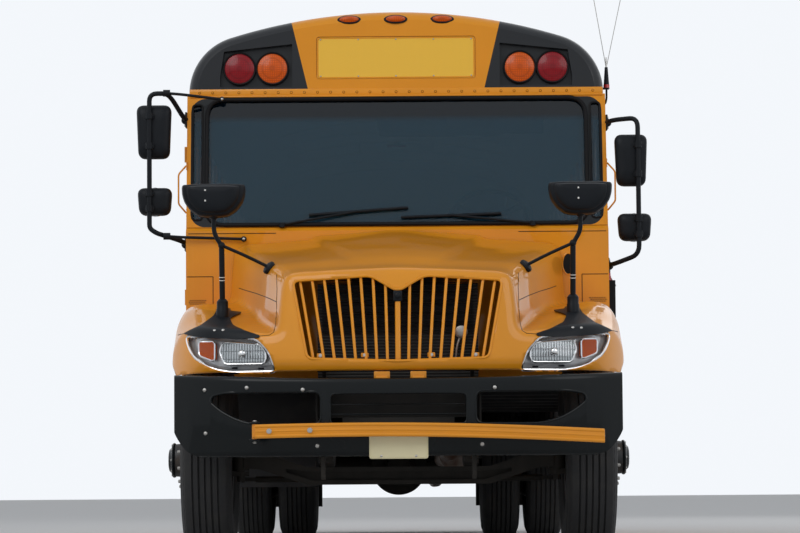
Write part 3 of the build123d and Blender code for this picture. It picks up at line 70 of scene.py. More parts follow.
# Materials: a wire stands for a socket, so that maths on it reads as maths
class Wire:
    def __init__(self, finish, socket):
        self.finish = finish
        self.socket = socket

    def maths(self, operation, first, second):
        return self.finish.node("ShaderNodeMath", {"operation": operation}, {0: first, 1: second})

    def __add__(self, other):
        return self.maths("ADD", self, other)

    def __sub__(self, other):
        return self.maths("SUBTRACT", self, other)

    def __rsub__(self, other):
        return self.maths("SUBTRACT", other, self)

    def __mul__(self, other):
        return self.maths("MULTIPLY", self, other)

    def __gt__(self, other):
        return self.maths("GREATER_THAN", self, other)

    def __lt__(self, other):
        return self.maths("LESS_THAN", self, other)

    def __abs__(self):
        return self.maths("ABSOLUTE", self, 0.0)

    def __mod__(self, other):
        return self.maths("FLOORED_MODULO", self, other)

    __radd__ = __add__


def shaded(color, share):
    return tuple(min(1, part * share) for part in color)


class Finish:
    def __init__(self, name, color, roughness, **fixed):
        self.material = bpy.data.materials.new(name)
        self.material.use_nodes = True
        self.tree = self.material.node_tree
        self.shader = self.tree.nodes["Principled BSDF"]
        self.shader.inputs["Base Color"].default_value = (*color, 1)
        self.shader.inputs["Roughness"].default_value = roughness
        for label, value in fixed.items():
            self.shader.inputs[label.replace("_", " ")].default_value = value
        self.point = self.node("ShaderNodeTexCoord", output="Object")
        apart = self.node("ShaderNodeSeparateXYZ", inputs={0: self.point}).socket.node
        self.x, self.z = Wire(self, apart.outputs[0]), Wire(self, apart.outputs[2])

    def node(self, kind, settings=None, inputs=None, output=0):
        made = self.tree.nodes.new(kind)
        for label, value in (settings or {}).items():
            setattr(made, label, value)
        for label, value in (inputs or {}).items():
            socket = made.inputs[label]
            if isinstance(value, Wire):
                self.tree.links.new(value.socket, socket)
            elif isinstance(value, tuple) and socket.type == "RGBA":
                socket.default_value = (*value, 1)
            else:
                socket.default_value = value
        return Wire(self, made.outputs[output])

    def noise(self, scale, detail=3.0, squash=None):
        where = self.point
        if squash:
            where = self.node("ShaderNodeMapping", {}, {"Vector": self.point, "Scale": squash})
        return self.node("ShaderNodeTexNoise", {}, {"Vector": where, "Scale": scale, "Detail": detail})

    def cells(self, scale, **settings):
        # a cell pattern: even squares or diamonds unless its randomness is left at one
        values = {"Vector": self.point, "Scale": scale, "Randomness": settings.pop("randomness", 0.0)}
        return self.node("ShaderNodeTexVoronoi", settings, values)

    def ramp(self, value, low, high):
        return self.node("ShaderNodeMapRange", {}, {"Value": value, "From Min": low, "From Max": high})

    def blend(self, share, first, second):
        return self.node("ShaderNodeMix", {"data_type": "RGBA"}, {0: share, 6: first, 7: second}, 2)

    def mottle(self, cloud, color, dark=0.94, pale=1.0):
        # a colour that drifts between a darker and a paler shade
        return self.blend(self.ramp(cloud, 0.3, 0.7), shaded(color, dark), shaded(color, pale))

    def dust(self, share):
        # how much road dust lies on the lower parts, in upright streaks
        return self.ramp(self.z, 1.25, 0.35) * share * (0.35 + self.noise(5.0, 4, squash=(3.0, 3.0, 0.35)))

    def ribs(self, along, pitch, low, high):
        # rises from one low line to the next, a number of times in each metre
        return self.ramp(abs((along * pitch) % 1.0 - 0.5), low, high)

    def put(self, **inputs):
        # links wires to the shader's inputs
        for label, wire in inputs.items():
            self.tree.links.new(wire.socket, self.shader.inputs[label.replace("_", " ")])

    def bump(self, height, strength, distance):
        self.put(Normal=self.node("ShaderNodeBump", {}, {"Strength": strength, "Distance": distance, "Height": height}))


roadDust = (0.30, 0.26, 0.20)
busColor = (0.80, 0.305, 0.012)


def weathered(name, color, roughness, dirt=0.25, grain=0.0, **fixed):
    # paint or plastic with a cloudy tone, road dust low down and a fine grain
    finish = Finish(name, color, roughness, **fixed)
    cloud = finish.noise(2.3, 4)
    low = finish.dust(dirt)
    finish.put(Base_Color=finish.blend(low, finish.mottle(cloud, color, 0.93, 1.05), roadDust),
               Roughness=roughness + low * 0.6 + (cloud - 0.5) * 0.08)
    if grain:
        finish.bump(finish.noise(grain, 2), 0.12, 0.0006)
    return finish.material


def gloss(name, color, **more):
    return weathered(name, color, 0.38, Coat_Weight=0.4, Coat_Roughness=0.04, Specular_IOR_Level=0.16, **more)


def dull(name, color, roughness, dirt=0.1, grain=600.0):
    # moulded black parts that mirror little of the sky
    return weathered(name, color, roughness, dirt, grain, Specular_IOR_Level=0.14)


# Everything made here goes through these few helpers
def scratch(form, name):
    # puts a bmesh into the scene as an object
    mesh = bpy.data.meshes.new(name)
    form.to_mesh(mesh)
    form.free()
    piece = bpy.data.objects.new(name, mesh)
    scene.collection.objects.link(piece)
    return piece


def discard(piece):
    mesh = piece.data
    bpy.data.objects.remove(piece)
    bpy.data.meshes.remove(mesh)


def keep(form, name, body, slotName, *finishes, angle=32):
    # turns a finished bmesh into a piece that rides on a body; face indices count through its finishes
    piece = scratch(form, name)
    mesh = piece.data
    for finish in finishes:
        mesh.materials.append(paint[finish])
    mesh.shade_smooth()
    mesh.set_sharp_from_angle(angle=math.radians(angle))
    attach(piece, body)
    return piece


def settled(piece):
    # the bmesh of an object with its modifiers applied; the object goes
    bpy.context.view_layer.update()
    solid = piece.evaluated_get(bpy.context.evaluated_depsgraph_get())
    form = bmesh.new()
    form.from_mesh(solid.to_mesh())
    solid.to_mesh_clear()
    discard(piece)
    return form


def changed(piece, kind, **settings):
    # the bmesh of an object after one modifier
    step = piece.modifiers.new("step", kind)
    for label, value in settings.items():
        setattr(step, label, value)
    return settled(piece)


def cutWith(form, cutter, operation="DIFFERENCE"):
    # an exact boolean of two closed forms
    piece, tool = scratch(form, "cutForm"), scratch(cutter, "cutTool")
    for mesh in (piece.data, tool.data):   # slots, because a boolean drops face indices that have none
        for number in range(3):
            mesh.materials.append(paint["yellow"])
    result = changed(piece, "BOOLEAN", operation=operation, solver="EXACT", object=tool)
    discard(tool)
    return result


def joined(form, small):
    # adds a small form to another
    mesh = bpy.data.meshes.new("part")
    small.to_mesh(mesh)
    small.free()
    form.from_mesh(mesh)
    bpy.data.meshes.remove(mesh)


def eased(form, times):
    for number in range(times):
        bmesh.ops.smooth_vert(form, verts=form.verts, factor=0.5, use_axis_x=True, use_axis_y=True, use_axis_z=True)


def dropLoose(form):
    bmesh.ops.delete(form, geom=[vert for vert in form.verts if not vert.link_faces], context="VERTS")


def facing(direction, place=(0, 0, 0)):
    # a matrix whose Z axis points along direction, at place
    turned = Vector(direction).to_track_quat("Z", "Y").to_matrix().to_4x4()
    return Matrix.Translation(place) @ turned


def coloured(faces, index):
    for face in faces:
        face.material_index = index


def tint(verts, index):
    # gives every face round some vertices a material
    for vert in verts:
        coloured(vert.link_faces, index)


def bevelled(form, edges, offset, steps):
    bmesh.ops.bevel(form, geom=list(edges), offset=offset, offset_type="OFFSET", segments=steps, profile=0.5,
                    affect="EDGES", material=-1, clamp_overlap=True)


def slab(form, first, last, bevel=0.0, steps=2, index=0):
    # a box from two opposite corners with rounded edges
    low, high = (Vector([pick(pair) for pair in zip(first, last)]) for pick in (min, max))
    verts = bmesh.ops.create_cube(form, size=1.0)["verts"]
    bmesh.ops.scale(form, vec=high - low, verts=verts)
    bmesh.ops.translate(form, vec=(low + high) / 2, verts=verts)
    tint(verts, index)
    if bevel:
        bevelled(form, dict.fromkeys(edge for vert in verts for edge in vert.link_edges), bevel, steps)


def slabAt(form, place, reach, bevel=0.0, steps=2, index=0):
    # a box round a middle point, reaching as far to each side
    place, reach = Vector(place), Vector(reach)
    slab(form, place - reach, place + reach, bevel, steps, index)


def drum(form, start, end, radius, tip=None, sides=24, index=0):
    # a round bar or cone between two points
    start, end = Vector(start), Vector(end)
    made = bmesh.ops.create_cone(form, cap_ends=True, segments=sides, radius1=radius,
                                 radius2=radius if tip is None else tip, depth=(end - start).length,
                                 matrix=facing(end - start, (start + end) / 2))
    tint(made["verts"], index)


def lathe(form, outline, centre, axis, sides=48, index=0):
    # spins an outline of (distance along the axis, radius) into a closed round form
    axis = Vector(axis).normalized()
    out = axis.orthogonal().normalized()
    centre = Vector(centre)
    verts = [form.verts.new(centre + axis * step + out * max(radius, onAxis)) for step, radius in outline]
    edges = [form.edges.new(pair) for pair in zip(verts, verts[1:])]
    before = len(form.faces)
    bmesh.ops.spin(form, geom=verts + edges, cent=centre, axis=axis, angle=2 * math.pi, steps=sides,
                   use_merge=True, use_duplicate=False)
    form.faces.ensure_lookup_table()
    faces = form.faces[before:]
    coloured(faces, index)
    bmesh.ops.recalc_face_normals(form, faces=faces)
    return faces


def ball(form, matrix, sides, rings, index=0):
    made = bmesh.ops.create_uvsphere(form, u_segments=sides, v_segments=rings, radius=1.0, matrix=matrix)
    tint(made["verts"], index)


def dome(form, centre, direction, radius, height, sides=8, rings=4, index=0):
    # a shallow round head, such as a rivet or a bolt
    ball(form, facing(direction, centre) @ Matrix.Diagonal((radius, radius, height, 1)), sides, rings, index)


def bolt(form, centre, direction, radius, index=0):
    # a six-sided head on a round flange
    direction = Vector(direction).normalized()
    centre = Vector(centre)
    drum(form, centre - direction * radius * 0.2, centre + direction * radius * 0.25, radius * 1.25, None, 12, index)
    drum(form, centre, centre + direction * radius * 0.85, radius, radius * 0.92, 6, index)


def cornerArc(before, corner, after, bend, steps):
    # the points that round one corner
    back, on = before - corner, after - corner
    reach = min(bend, back.length * 0.45, on.length * 0.45)
    first, last = corner + back.normalized() * reach, corner + on.normalized() * reach
    shares = [step / steps for step in range(steps + 1)]
    return [first.lerp(corner, share).lerp(corner.lerp(last, share), share) for share in shares]


def rounded(route, bend, steps=5):
    # points of a bent tube: straight runs joined by arcs
    route = [Vector(point) for point in route]
    points = [route[0]]
    for corner in zip(route, route[1:], route[2:]):
        points += cornerArc(*corner, bend, steps)
    return points + [route[-1]]


def softened(outline, bend, steps=5):
    # a closed outline with its corners rounded
    flat = [Vector((*point, 0)) for point in outline]
    points = []
    for number, corner in enumerate(flat):
        points += cornerArc(flat[number - 1], corner, flat[(number + 1) % len(flat)], bend, steps)
    return [(point.x, point.y) for point in points]


def pane(left, low, right, high, bend, steps=5):
    # a rectangle with rounded corners
    return softened(((left, low), (right, low), (right, high), (left, high)), bend, steps)


def oval(wide, tall, count):
    return [(wide * math.cos(angle), tall * math.sin(angle))
            for angle in (2 * math.pi * step / count for step in range(count))]


def bothSides(half):
    # a whole outline from its right half, whose first and last points are on the centre line
    return list(half) + [(-x, z) for x, z in half[-2:0:-1]]


def tube(form, route, radius, bend=0.0, sides=8, index=0, loop=False):
    # a round tube along a route, made by moving one ring along it
    points = rounded(route, bend) if len(route) > 2 and bend else [Vector(p) for p in route]
    up = Vector((0, 0, 1)) if abs((points[1] - points[0]).normalized().z) < 0.9 else Vector((1, 0, 0))
    rings = []
    last = len(points) - 1
    for number, point in enumerate(points):
        if loop:
            ahead = points[(number + 1) % (last + 1)] - points[number - 1]
        else:
            ahead = points[min(number + 1, last)] - points[max(number - 1, 0)]
        ahead.normalize()
        side = ahead.cross(up).normalized()
        up = side.cross(ahead).normalized()
        ring = bmesh.ops.create_circle(form, segments=sides, radius=radius)["verts"]
        place = Matrix((side, up, -ahead)).transposed().to_4x4()
        bmesh.ops.transform(form, matrix=Matrix.Translation(point) @ place, verts=ring)
        rings.append(ring)
    edges = [list(dict.fromkeys(edge for vert in ring for edge in vert.link_edges)) for ring in rings]
    if loop:
        edges.append(edges[0])
    faces = []
    for first, second in zip(edges, edges[1:]):
        faces += bmesh.ops.bridge_loops(form, edges=first + second)["faces"]
    if not loop:
        faces += [form.faces.new(rings[0]), form.faces.new(rings[-1])]
    bmesh.ops.recalc_face_normals(form, faces=faces)
    coloured(faces, index)


def inPlane(normal, level, a, b):
    # a point on the plane that the X, Y or Z axis crosses at level
    spot = [a, b]
    spot.insert("XYZ".index(normal), level)
    return spot


def hoop(form, outline, normal, level, radius, sides=8, index=0):
    # a closed tube along a flat outline
    tube(form, [inPlane(normal, level, a, b) for a, b in outline], radius, 0, sides, index, loop=True)


def prism(form, outline, normal, start, end, bevel=0.0, steps=2, index=0):
    # a flat outline pushed from start to end along the X, Y or Z axis
    verts = [form.verts.new(inPlane(normal, start, a, b)) for a, b in outline]
    face = form.faces.new(verts)
    pushed = bmesh.ops.extrude_face_region(form, geom=[face])["geom"]
    moved = [item for item in pushed if isinstance(item, bmesh.types.BMVert)]
    bmesh.ops.translate(form, vec=inPlane(normal, end - start, 0.0, 0.0), verts=moved)
    faces = list(dict.fromkeys(face for vert in verts + moved for face in vert.link_faces))
    bmesh.ops.recalc_face_normals(form, faces=faces)
    coloured(faces, index)
    if bevel:
        bevelled(form, dict.fromkeys(edge for face in faces for edge in face.edges), bevel, steps)


def loft(form, sections):
    # a closed form through rings of points
    rings = []
    for points in sections:
        verts = [form.verts.new(point) for point in points]
        rings.append([form.edges.new(pair) for pair in zip(verts, verts[1:] + verts[:1])])
    faces = []
    for first, second in zip(rings, rings[1:]):
        faces += bmesh.ops.bridge_loops(form, edges=first + second)["faces"]
    for ring in (rings[0], rings[-1]):
        faces += bmesh.ops.contextual_create(form, geom=ring)["faces"]
    coloured(faces, 0)
    bmesh.ops.recalc_face_normals(form, faces=faces)


def treeOf(name):
    # for rays against a CAD node's own surface
    form = bmesh.new()
    form.from_mesh(nodes[name].data)
    bmesh.ops.remove_doubles(form, verts=form.verts, dist=1e-5)
    return BVHTree.FromBMesh(form)


def smoothstep(value, low, high):
    share = min(1.0, max(0.0, (value - low) / (high - low)))
    return share * share * (3 - 2 * share)


onAxis = 0.0001   # a turned outline stays this far off its axis
upward, forward, backward = (Vector(way) for way in ((0, 0, 1), (0, -1, 0), (0, 1, 0)))


# Studio: pale floor, pale surroundings and large soft lamps
def makeStudio():
    studio = {"floor": 160.0, "air": (0.93, 0.96, 1.0, 1), "sky": 0.42, "seen": 0.97, "aim": 1.5}
    form = bmesh.new()
    bmesh.ops.create_grid(form, x_segments=2, y_segments=2, size=studio["floor"])
    floor = scratch(form, "studioFloor")
    floor.data.materials.append(Finish("studioFloor", (0.74, 0.74, 0.74), 0.85).material)
    world = bpy.data.worlds.new("studio")
    scene.world = world
    world.use_nodes = True
    tree = world.node_tree
    paths = tree.nodes.new("ShaderNodeLightPath")
    behind = tree.nodes["Background"]
    behind.inputs[0].default_value = studio["air"]
    seen = paths.outputs["Is Camera Ray"]
    for label in ("Is Glossy Ray", "Is Transmission Ray"):
        either = tree.nodes.new("ShaderNodeMath")
        either.operation = "MAXIMUM"
        tree.links.new(seen, either.inputs[0])
        tree.links.new(paths.outputs[label], either.inputs[1])
        seen = either.outputs[0]
    reach = tree.nodes.new("ShaderNodeMath")
    reach.operation = "MULTIPLY_ADD"
    tree.links.new(seen, reach.inputs[0])
    reach.inputs[1].default_value = studio["seen"] - studio["sky"]
    reach.inputs[2].default_value = studio["sky"]
    tree.links.new(reach.outputs[0], behind.inputs[1])
    lamps = (("keyLamp", (-7, axleY - 9, 11), 9.0, 620.0), ("fillLamp", (9, axleY - 7, 7), 7.0, 230.0),
             ("tailLamp", (6, 13, 10), 9.0, 230.0))
    for name, place, size, power in lamps:
        light = bpy.data.lights.new(name, "AREA")
        light.shape = "DISK"
        light.size = size
        light.energy = power
        lamp = bpy.data.objects.new(name, light)
        scene.collection.objects.link(lamp)
        lamp.matrix_world = facing(Vector(place) - upward * studio["aim"], place)


makeStudio()
print("camera and studio")


# Finishes with a pattern of their own
def capPaint():
    # the front cap: yellow with a black panel round each pair of lamps
    panel = {"topX": 0.611, "topZ": 3.090, "footX": 0.515, "footZ": 2.688, "black": (0.010, 0.012, 0.015)}
    finish = Finish("capPaint", busColor, 0.40, Coat_Weight=0.2, Coat_Roughness=0.08, Specular_IOR_Level=0.22)
    slope = (panel["topX"] - panel["footX"]) / (panel["topZ"] - panel["footZ"])
    edge = panel["footX"] + (finish.z - panel["footZ"]) * slope
    black = (abs(finish.x) > edge) * (finish.z > panel["footZ"])
    cloud = finish.noise(2.3, 4)
    finish.put(Base_Color=finish.blend(black, finish.mottle(cloud, busColor), panel["black"]),
               Roughness=0.34 + cloud * 0.08)
    finish.bump(finish.noise(420.0, 2), 0.1, 0.0006)
    return finish.material


def shellPaint():
    # the body's sheet metal: bus yellow outside, cream enamel on the faces that look into the cabin
    shell = {"heart": (0, 0.9, 2.1), "enamel": (0.60, 0.60, 0.54)}
    finish = Finish("shellPaint", busColor, 0.40, Coat_Weight=0.3, Coat_Roughness=0.06, Specular_IOR_Level=0.25)
    turned = finish.node("ShaderNodeNewGeometry", output="Normal")
    fromHeart = finish.node("ShaderNodeVectorMath", {"operation": "SUBTRACT"}, {0: finish.point, 1: shell["heart"]})
    outward = finish.node("ShaderNodeVectorMath", {"operation": "DOT_PRODUCT"}, {0: turned, 1: fromHeart}, "Value")
    cloud = finish.noise(2.3, 4)
    low = finish.dust(0.12)
    dusty = finish.blend(low, finish.mottle(cloud, busColor, 0.93, 1.04), roadDust)
    finish.put(Base_Color=finish.blend(outward < 0.0, dusty, shell["enamel"]),
               Roughness=0.38 + low * 0.6 + cloud * 0.06)
    return finish.material


def shieldPaint():
    # the windshield's surround: yellow metal with a wide black rubber band round the whole glass
    band = {"half": 1.196, "low": 1.872, "high": 2.634, "corner": 0.085, "black": (0.007, 0.009, 0.011)}
    finish = Finish("shieldPaint", busColor, 0.42, Coat_Weight=0.15, Coat_Roughness=0.08, Specular_IOR_Level=0.2)
    middle = (band["low"] + band["high"]) / 2
    reach = (band["high"] - band["low"]) / 2 - band["corner"]
    across, upright = (wire.maths("MAXIMUM", abs(wire - centre) - far, 0.0) for wire, centre, far in
                       ((finish.x, 0.0, band["half"] - band["corner"]), (finish.z, middle, reach)))
    black = (across * across + upright * upright) < band["corner"] ** 2
    cloud = finish.noise(2.3, 4)
    finish.put(Base_Color=finish.blend(black, finish.mottle(cloud, busColor), band["black"]),
               Roughness=0.38 + cloud * 0.08)
    return finish.material


def glassPaint(name, color, opacity, band=None):
    # tinted safety glass, which may be darker along its top: a sun band has a low and a high edge and an opacity
    finish = Finish(name, color, 0.02, IOR=1.45, Alpha=opacity)
    finish.put(Roughness=0.02 + finish.noise(3.0, 3) * 0.03)
    if band:
        low, high, dark = band
        share = finish.ramp(finish.z, low, high)
        finish.put(Alpha=opacity + share * (dark - opacity),
                   Base_Color=finish.blend(share, color, (0.001, 0.005, 0.010)))
    return finish.material


def tyrePaint():
    # worn tyre rubber: brown-grey dust in patches
    finish = Finish("tyreRubber", (0.020, 0.020, 0.021), 0.78)
    dust = finish.noise(9.0, 5)
    patch = finish.ramp(dust, 0.45, 0.75) * 0.22
    finish.put(Base_Color=finish.blend(patch, (0.018, 0.018, 0.019), (0.085, 0.078, 0.068)),
               Roughness=0.72 + dust * 0.2)
    finish.bump(finish.noise(160.0, 4), 0.25, 0.001)
    return finish.material


def finPaint():
    # radiator core: close horizontal fins, painted lighter on each fin and dark as shade in the gaps between them
    finish = Finish("radiatorCore", (0.05, 0.05, 0.05), 0.5, Metallic=0.6)
    finRidgeAndGapShade = finish.ribs(finish.z, 62.0, 0.2, 0.5)
    finish.put(Base_Color=finish.blend(finRidgeAndGapShade, (0.012, 0.012, 0.012), (0.075, 0.075, 0.07)))
    finish.bump(finRidgeAndGapShade, 0.8, 0.004)
    return finish.material


def floorPaint():
    # ribbed rubber down the aisle and on the steps, smooth under the seats
    finish = Finish("floorRubber", (0.03, 0.03, 0.032), 0.6)
    aisle = abs(finish.x) < 0.19
    scuff = finish.ramp(finish.noise(4.0, 5), 0.5, 0.8)
    finish.put(Base_Color=finish.blend(scuff * 0.5, (0.026, 0.026, 0.028), (0.11, 0.10, 0.09)))
    finish.bump(finish.ribs(finish.x, 28.0, 0.15, 0.3) * aisle + scuff * 0.1, 0.6, 0.003)
    return finish.material


def vinylPaint():
    # seat vinyl with a fine leather grain and a cloudy tone
    finish = Finish("seatVinyl", (0.030, 0.055, 0.10), 0.5)
    cloud = finish.noise(6.0, 4)
    share = finish.ramp(cloud, 0.3, 0.75)
    finish.put(Base_Color=finish.blend(share, (0.024, 0.045, 0.085), (0.042, 0.07, 0.12)),
               Roughness=0.42 + cloud * 0.15)
    finish.bump(finish.cells(260.0, feature="DISTANCE_TO_EDGE", randomness=1.0), 0.35, 0.0012)
    return finish.material


def lensPaint(name, color):
    # a moulded lamp lens with small prisms behind a clear face, each prism painted lighter in its middle and darker at
    # its edges as painted light and shade
    finish = Finish(name, color, 0.25, Coat_Weight=0.2, Coat_Roughness=0.03, Specular_IOR_Level=0.2)
    prismCellsAndShade = finish.cells(95.0, feature="F1", distance="CHEBYCHEV")
    finish.put(Base_Color=finish.blend(finish.ramp(prismCellsAndShade, 0.0, 0.55), shaded(color, 1.3), shaded(color, 0.5)))
    finish.bump(prismCellsAndShade, 0.5, 0.002)
    return finish.material


def rimPaint():
    # dark steel disc with brake dust and rubbed edges
    finish = Finish("rimBlack", (0.02, 0.02, 0.022), 0.5)
    dust = finish.ramp(finish.noise(14.0, 5), 0.42, 0.72)
    finish.put(Base_Color=finish.blend(dust * 0.55, (0.016, 0.016, 0.018), (0.10, 0.075, 0.055)),
               Roughness=0.42 + dust * 0.35)
    finish.bump(finish.noise(220.0, 3), 0.2, 0.0008)
    return finish.material


def signPaint(name, color):
    # reflective sheeting: bright colour with fine even cells
    finish = Finish(name, color, 0.32, Coat_Weight=0.6, Coat_Roughness=0.08)
    line = finish.ramp(finish.cells(150.0, feature="DISTANCE_TO_EDGE"), 0.0, 0.12)
    finish.put(Base_Color=finish.blend(line, shaded(color, 0.86), color))
    finish.bump(line, 0.2, 0.0004)
    return finish.material


def exhaustPaint():
    finish = Finish("exhaustSteel", (0.20, 0.17, 0.15), 0.5, Metallic=0.8)
    rust = finish.ramp(finish.noise(11.0, 6), 0.42, 0.68)
    finish.put(Base_Color=finish.blend(rust, (0.24, 0.21, 0.19), (0.13, 0.055, 0.025)), Metallic=0.85 - rust * 0.7,
               Roughness=0.4 + rust * 0.4)
    finish.bump(finish.noise(60.0, 5), 0.3, 0.001)
    return finish.material


def chromePaint():
    finish = Finish("lampChrome", (0.86, 0.87, 0.88), 0.08, Metallic=1.0)
    ripple = finish.noise(30.0, 2)
    finish.put(Roughness=0.05 + ripple * 0.08)
    finish.bump(ripple, 0.15, 0.001)
    return finish.material


def hoodPaint():
    # the same yellow with more gloss and a finer orange-peel grain
    finish = Finish("hoodPaint", busColor, 0.36, Coat_Weight=0.5, Coat_Roughness=0.05, Specular_IOR_Level=0.12)
    cloud = finish.noise(2.1, 4)
    finish.put(Base_Color=finish.mottle(cloud, busColor, pale=1.04), Roughness=0.34 + cloud * 0.12)
    finish.bump(finish.noise(420.0, 2), 0.06, 0.0004)
    return finish.material


def flutePaint():
    # the headlight's beam lens: upright flutes whose light and shade are painted into the colour, with darker lines
    # painted between the rows as shade
    finish = Finish("flutedLens", (0.35, 0.38, 0.40), 0.12, Metallic=0.7, Coat_Weight=1.0, Coat_Roughness=0.02)
    fluteRibAndShade = finish.ribs(finish.x, 70.0, 0.05, 0.45)
    # row: thin darker lines between the rows of flutes, painted shade
    row = finish.ribs(finish.z, 24.0, 0.42, 0.5)
    shade = finish.blend(fluteRibAndShade, (0.16, 0.18, 0.19), (0.62, 0.66, 0.68))
    finish.put(Base_Color=finish.blend(row, shade, (0.08, 0.09, 0.10)))
    finish.bump(fluteRibAndShade, 0.9, 0.004)
    return finish.material


paint = {
    "yellow": gloss("busYellow", busColor, dirt=0.12, grain=520.0),
    "arm": gloss("armYellow", (0.80, 0.30, 0.012), dirt=0.05),
    "gloss black": weathered("glossBlack", (0.003, 0.005, 0.006), 0.26, 0.006, Coat_Weight=0.10, Coat_Roughness=0.04,
                             Specular_IOR_Level=0.14),
    "plastic": dull("blackPlastic", (0.008, 0.010, 0.013), 0.44, 0.015),
    # a darker brown-orange painted as shade: a ring round each header rivet and a line in each side panel seam
    "painted shade": dull("paintedShade", (0.16, 0.055, 0.004), 0.6, 0.0),
    "gasket": dull("rubberGasket", (0.006, 0.006, 0.007), 0.55, 0.02),
    "rubber": dull("blackRubber", (0.009, 0.009, 0.010), 0.62, 0.05, 400.0),
    "chassis": dull("chassisBlack", (0.009, 0.009, 0.010), 0.55, 0.10, 160.0),
    "iron": weathered("engineIron", (0.05, 0.052, 0.055), 0.6, 0.3, 90.0, Metallic=0.4),
    "steel": weathered("plainSteel", (0.42, 0.41, 0.39), 0.36, 0.15, 300.0, Metallic=1.0),
    "aluminium": weathered("sashAluminium", (0.60, 0.61, 0.62), 0.34, 0.08, 700.0, Metallic=1.0),
    "white": weathered("hatchWhite", (0.78, 0.78, 0.75), 0.5, 0.0, 500.0),
    "headliner": weathered("headliner", (0.62, 0.62, 0.58), 0.6, 0.0),
    "housing": weathered("lampHousing", (0.66, 0.67, 0.69), 0.22, 0.0, Metallic=0.45),
    "plate": weathered("barePlate", (0.72, 0.66, 0.42), 0.42, 0.0, 240.0),
    "cap": capPaint(), "hood": hoodPaint(), "shell": shellPaint(), "shield": shieldPaint(), "flutes": flutePaint(),
    "piping": Finish("seatPiping", (0.012, 0.022, 0.045), 0.5).material,
    "mirror": Finish("mirrorGlass", (0.86, 0.88, 0.90), 0.03, Metallic=1.0).material,
    "windshield": glassPaint("windshieldGlass", (0.008, 0.044, 0.074), 0.66, (2.49, 2.53, 0.90)),
    "glass": glassPaint("windowGlass", (0.03, 0.042, 0.045), 0.42),
    "door glass": glassPaint("doorGlass", (0.04, 0.055, 0.055), 0.30),
    "clear": glassPaint("clearLens", (0.05, 0.055, 0.06), 0.07),
    "red lens": lensPaint("redLens", (0.30, 0.003, 0.010)),
    "amber lens": lensPaint("amberLens", (0.78, 0.115, 0.002)),
    "sign": signPaint("signYellow", (0.90, 0.52, 0.012)), "stop red": signPaint("stopRed", (0.56, 0.012, 0.014)),
    "stop white": signPaint("stopWhite", (0.82, 0.82, 0.80)),
    "tyre": tyrePaint(), "rim": rimPaint(), "fins": finPaint(), "floor": floorPaint(), "vinyl": vinylPaint(),
    "exhaust": exhaustPaint(), "chrome": chromePaint(),
}
wardrobe = {
    "shell": "side_walls window_bands roof rear_wall",
    "yellow": "cowl rear_door entrance_front_leaf entrance_rear_leaf",
    "cap": "front_cap",
    "shield": "windshield_frame",
    "gloss black": "rear_bumper rub_rails",
    "plastic": "stop_arm_housing dashboard steering_wheel wipers",
    "rubber": "mud_flaps",
    "chassis": "chassis_frame cross_members front_axle rear_axle leaf_springs drive_shaft left_knuckle right_knuckle "
               "tie_rod fuel_tank seat_frames",
    "iron": "engine",
    "fins": "radiator",
    "exhaust": "exhaust",
    "white": "front_roof_hatch rear_roof_hatch",
    "stop red": "stop_arm",
    "windshield": "windshield",
    "glass": "window_glass rear_door_glass",
    "door glass": "entrance_front_glass entrance_rear_glass",
    "rim": "front_left_rim front_right_rim rear_left_rims rear_right_rims",
    "floor": "body_floor entrance_steps",
}
for finishName, wearers in wardrobe.items():
    for wearer in wearers.split():
        mesh = nodes[wearer].data
        mesh.materials.clear()
        mesh.materials.append(paint[finishName])
print("finishes made, CAD nodes dressed")


# Hood, moulded in one piece: a closed form is remeshed and eased, then cut open and given its wall
hoodLow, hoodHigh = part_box("hood")
hoodForm = {
    # share of the way back, foot half width, shoulder half width, shoulder height, crest height
    "bonnet": ((-0.02, 0.655, 0.600, 1.492, 1.512), (1.04, 1.012, 0.955, 1.772, 1.842)),
    # share of the way back, height of the outer side, height beside the bonnet
    "fender": ((-0.02, 1.085, 1.165), (0.34, 1.225, 1.235), (0.54, 1.262, 1.285), (1.04, 1.300, 1.430)),
    "voxel": 0.015, "easing": 18, "thinning": 0.36, "wall": 0.010, "archRadius": 0.625,
    "bulge": 0.018, "bulgeRear": 0.50, "bulgeFront": 0.17,
    "tuckTop": 1.03, "tuckTall": 0.06, "tuck": 0.022,   # the nose rolls under, clear of the frame when it tilts
    "grille": ((0, 1.388), (0.140, 1.472), (0.553, 1.450), (0.475, 1.035), (0, 1.019)), "grilleBend": 0.035,
    "lamp": ((0.638, 0.972), (0.676, 1.077), (0.742, 1.149), (1.130, 1.177), (1.118, 1.125), (1.085, 1.062),
             (1.022, 1.012), (0.952, 0.984), (0.880, 0.972)), "lampBend": 0.028,
}


def noseSweep(x):
    # how far the nose falls back beside its middle
    x = abs(x)
    if x < 0.65:
        return 0.085 * (x / 0.65) ** 2
    side = min(x, hoodHigh.x) - 0.65
    return 0.085 + 0.26 * side + 3.9 * side ** 5.3 + 0.9 * side ** 3.2


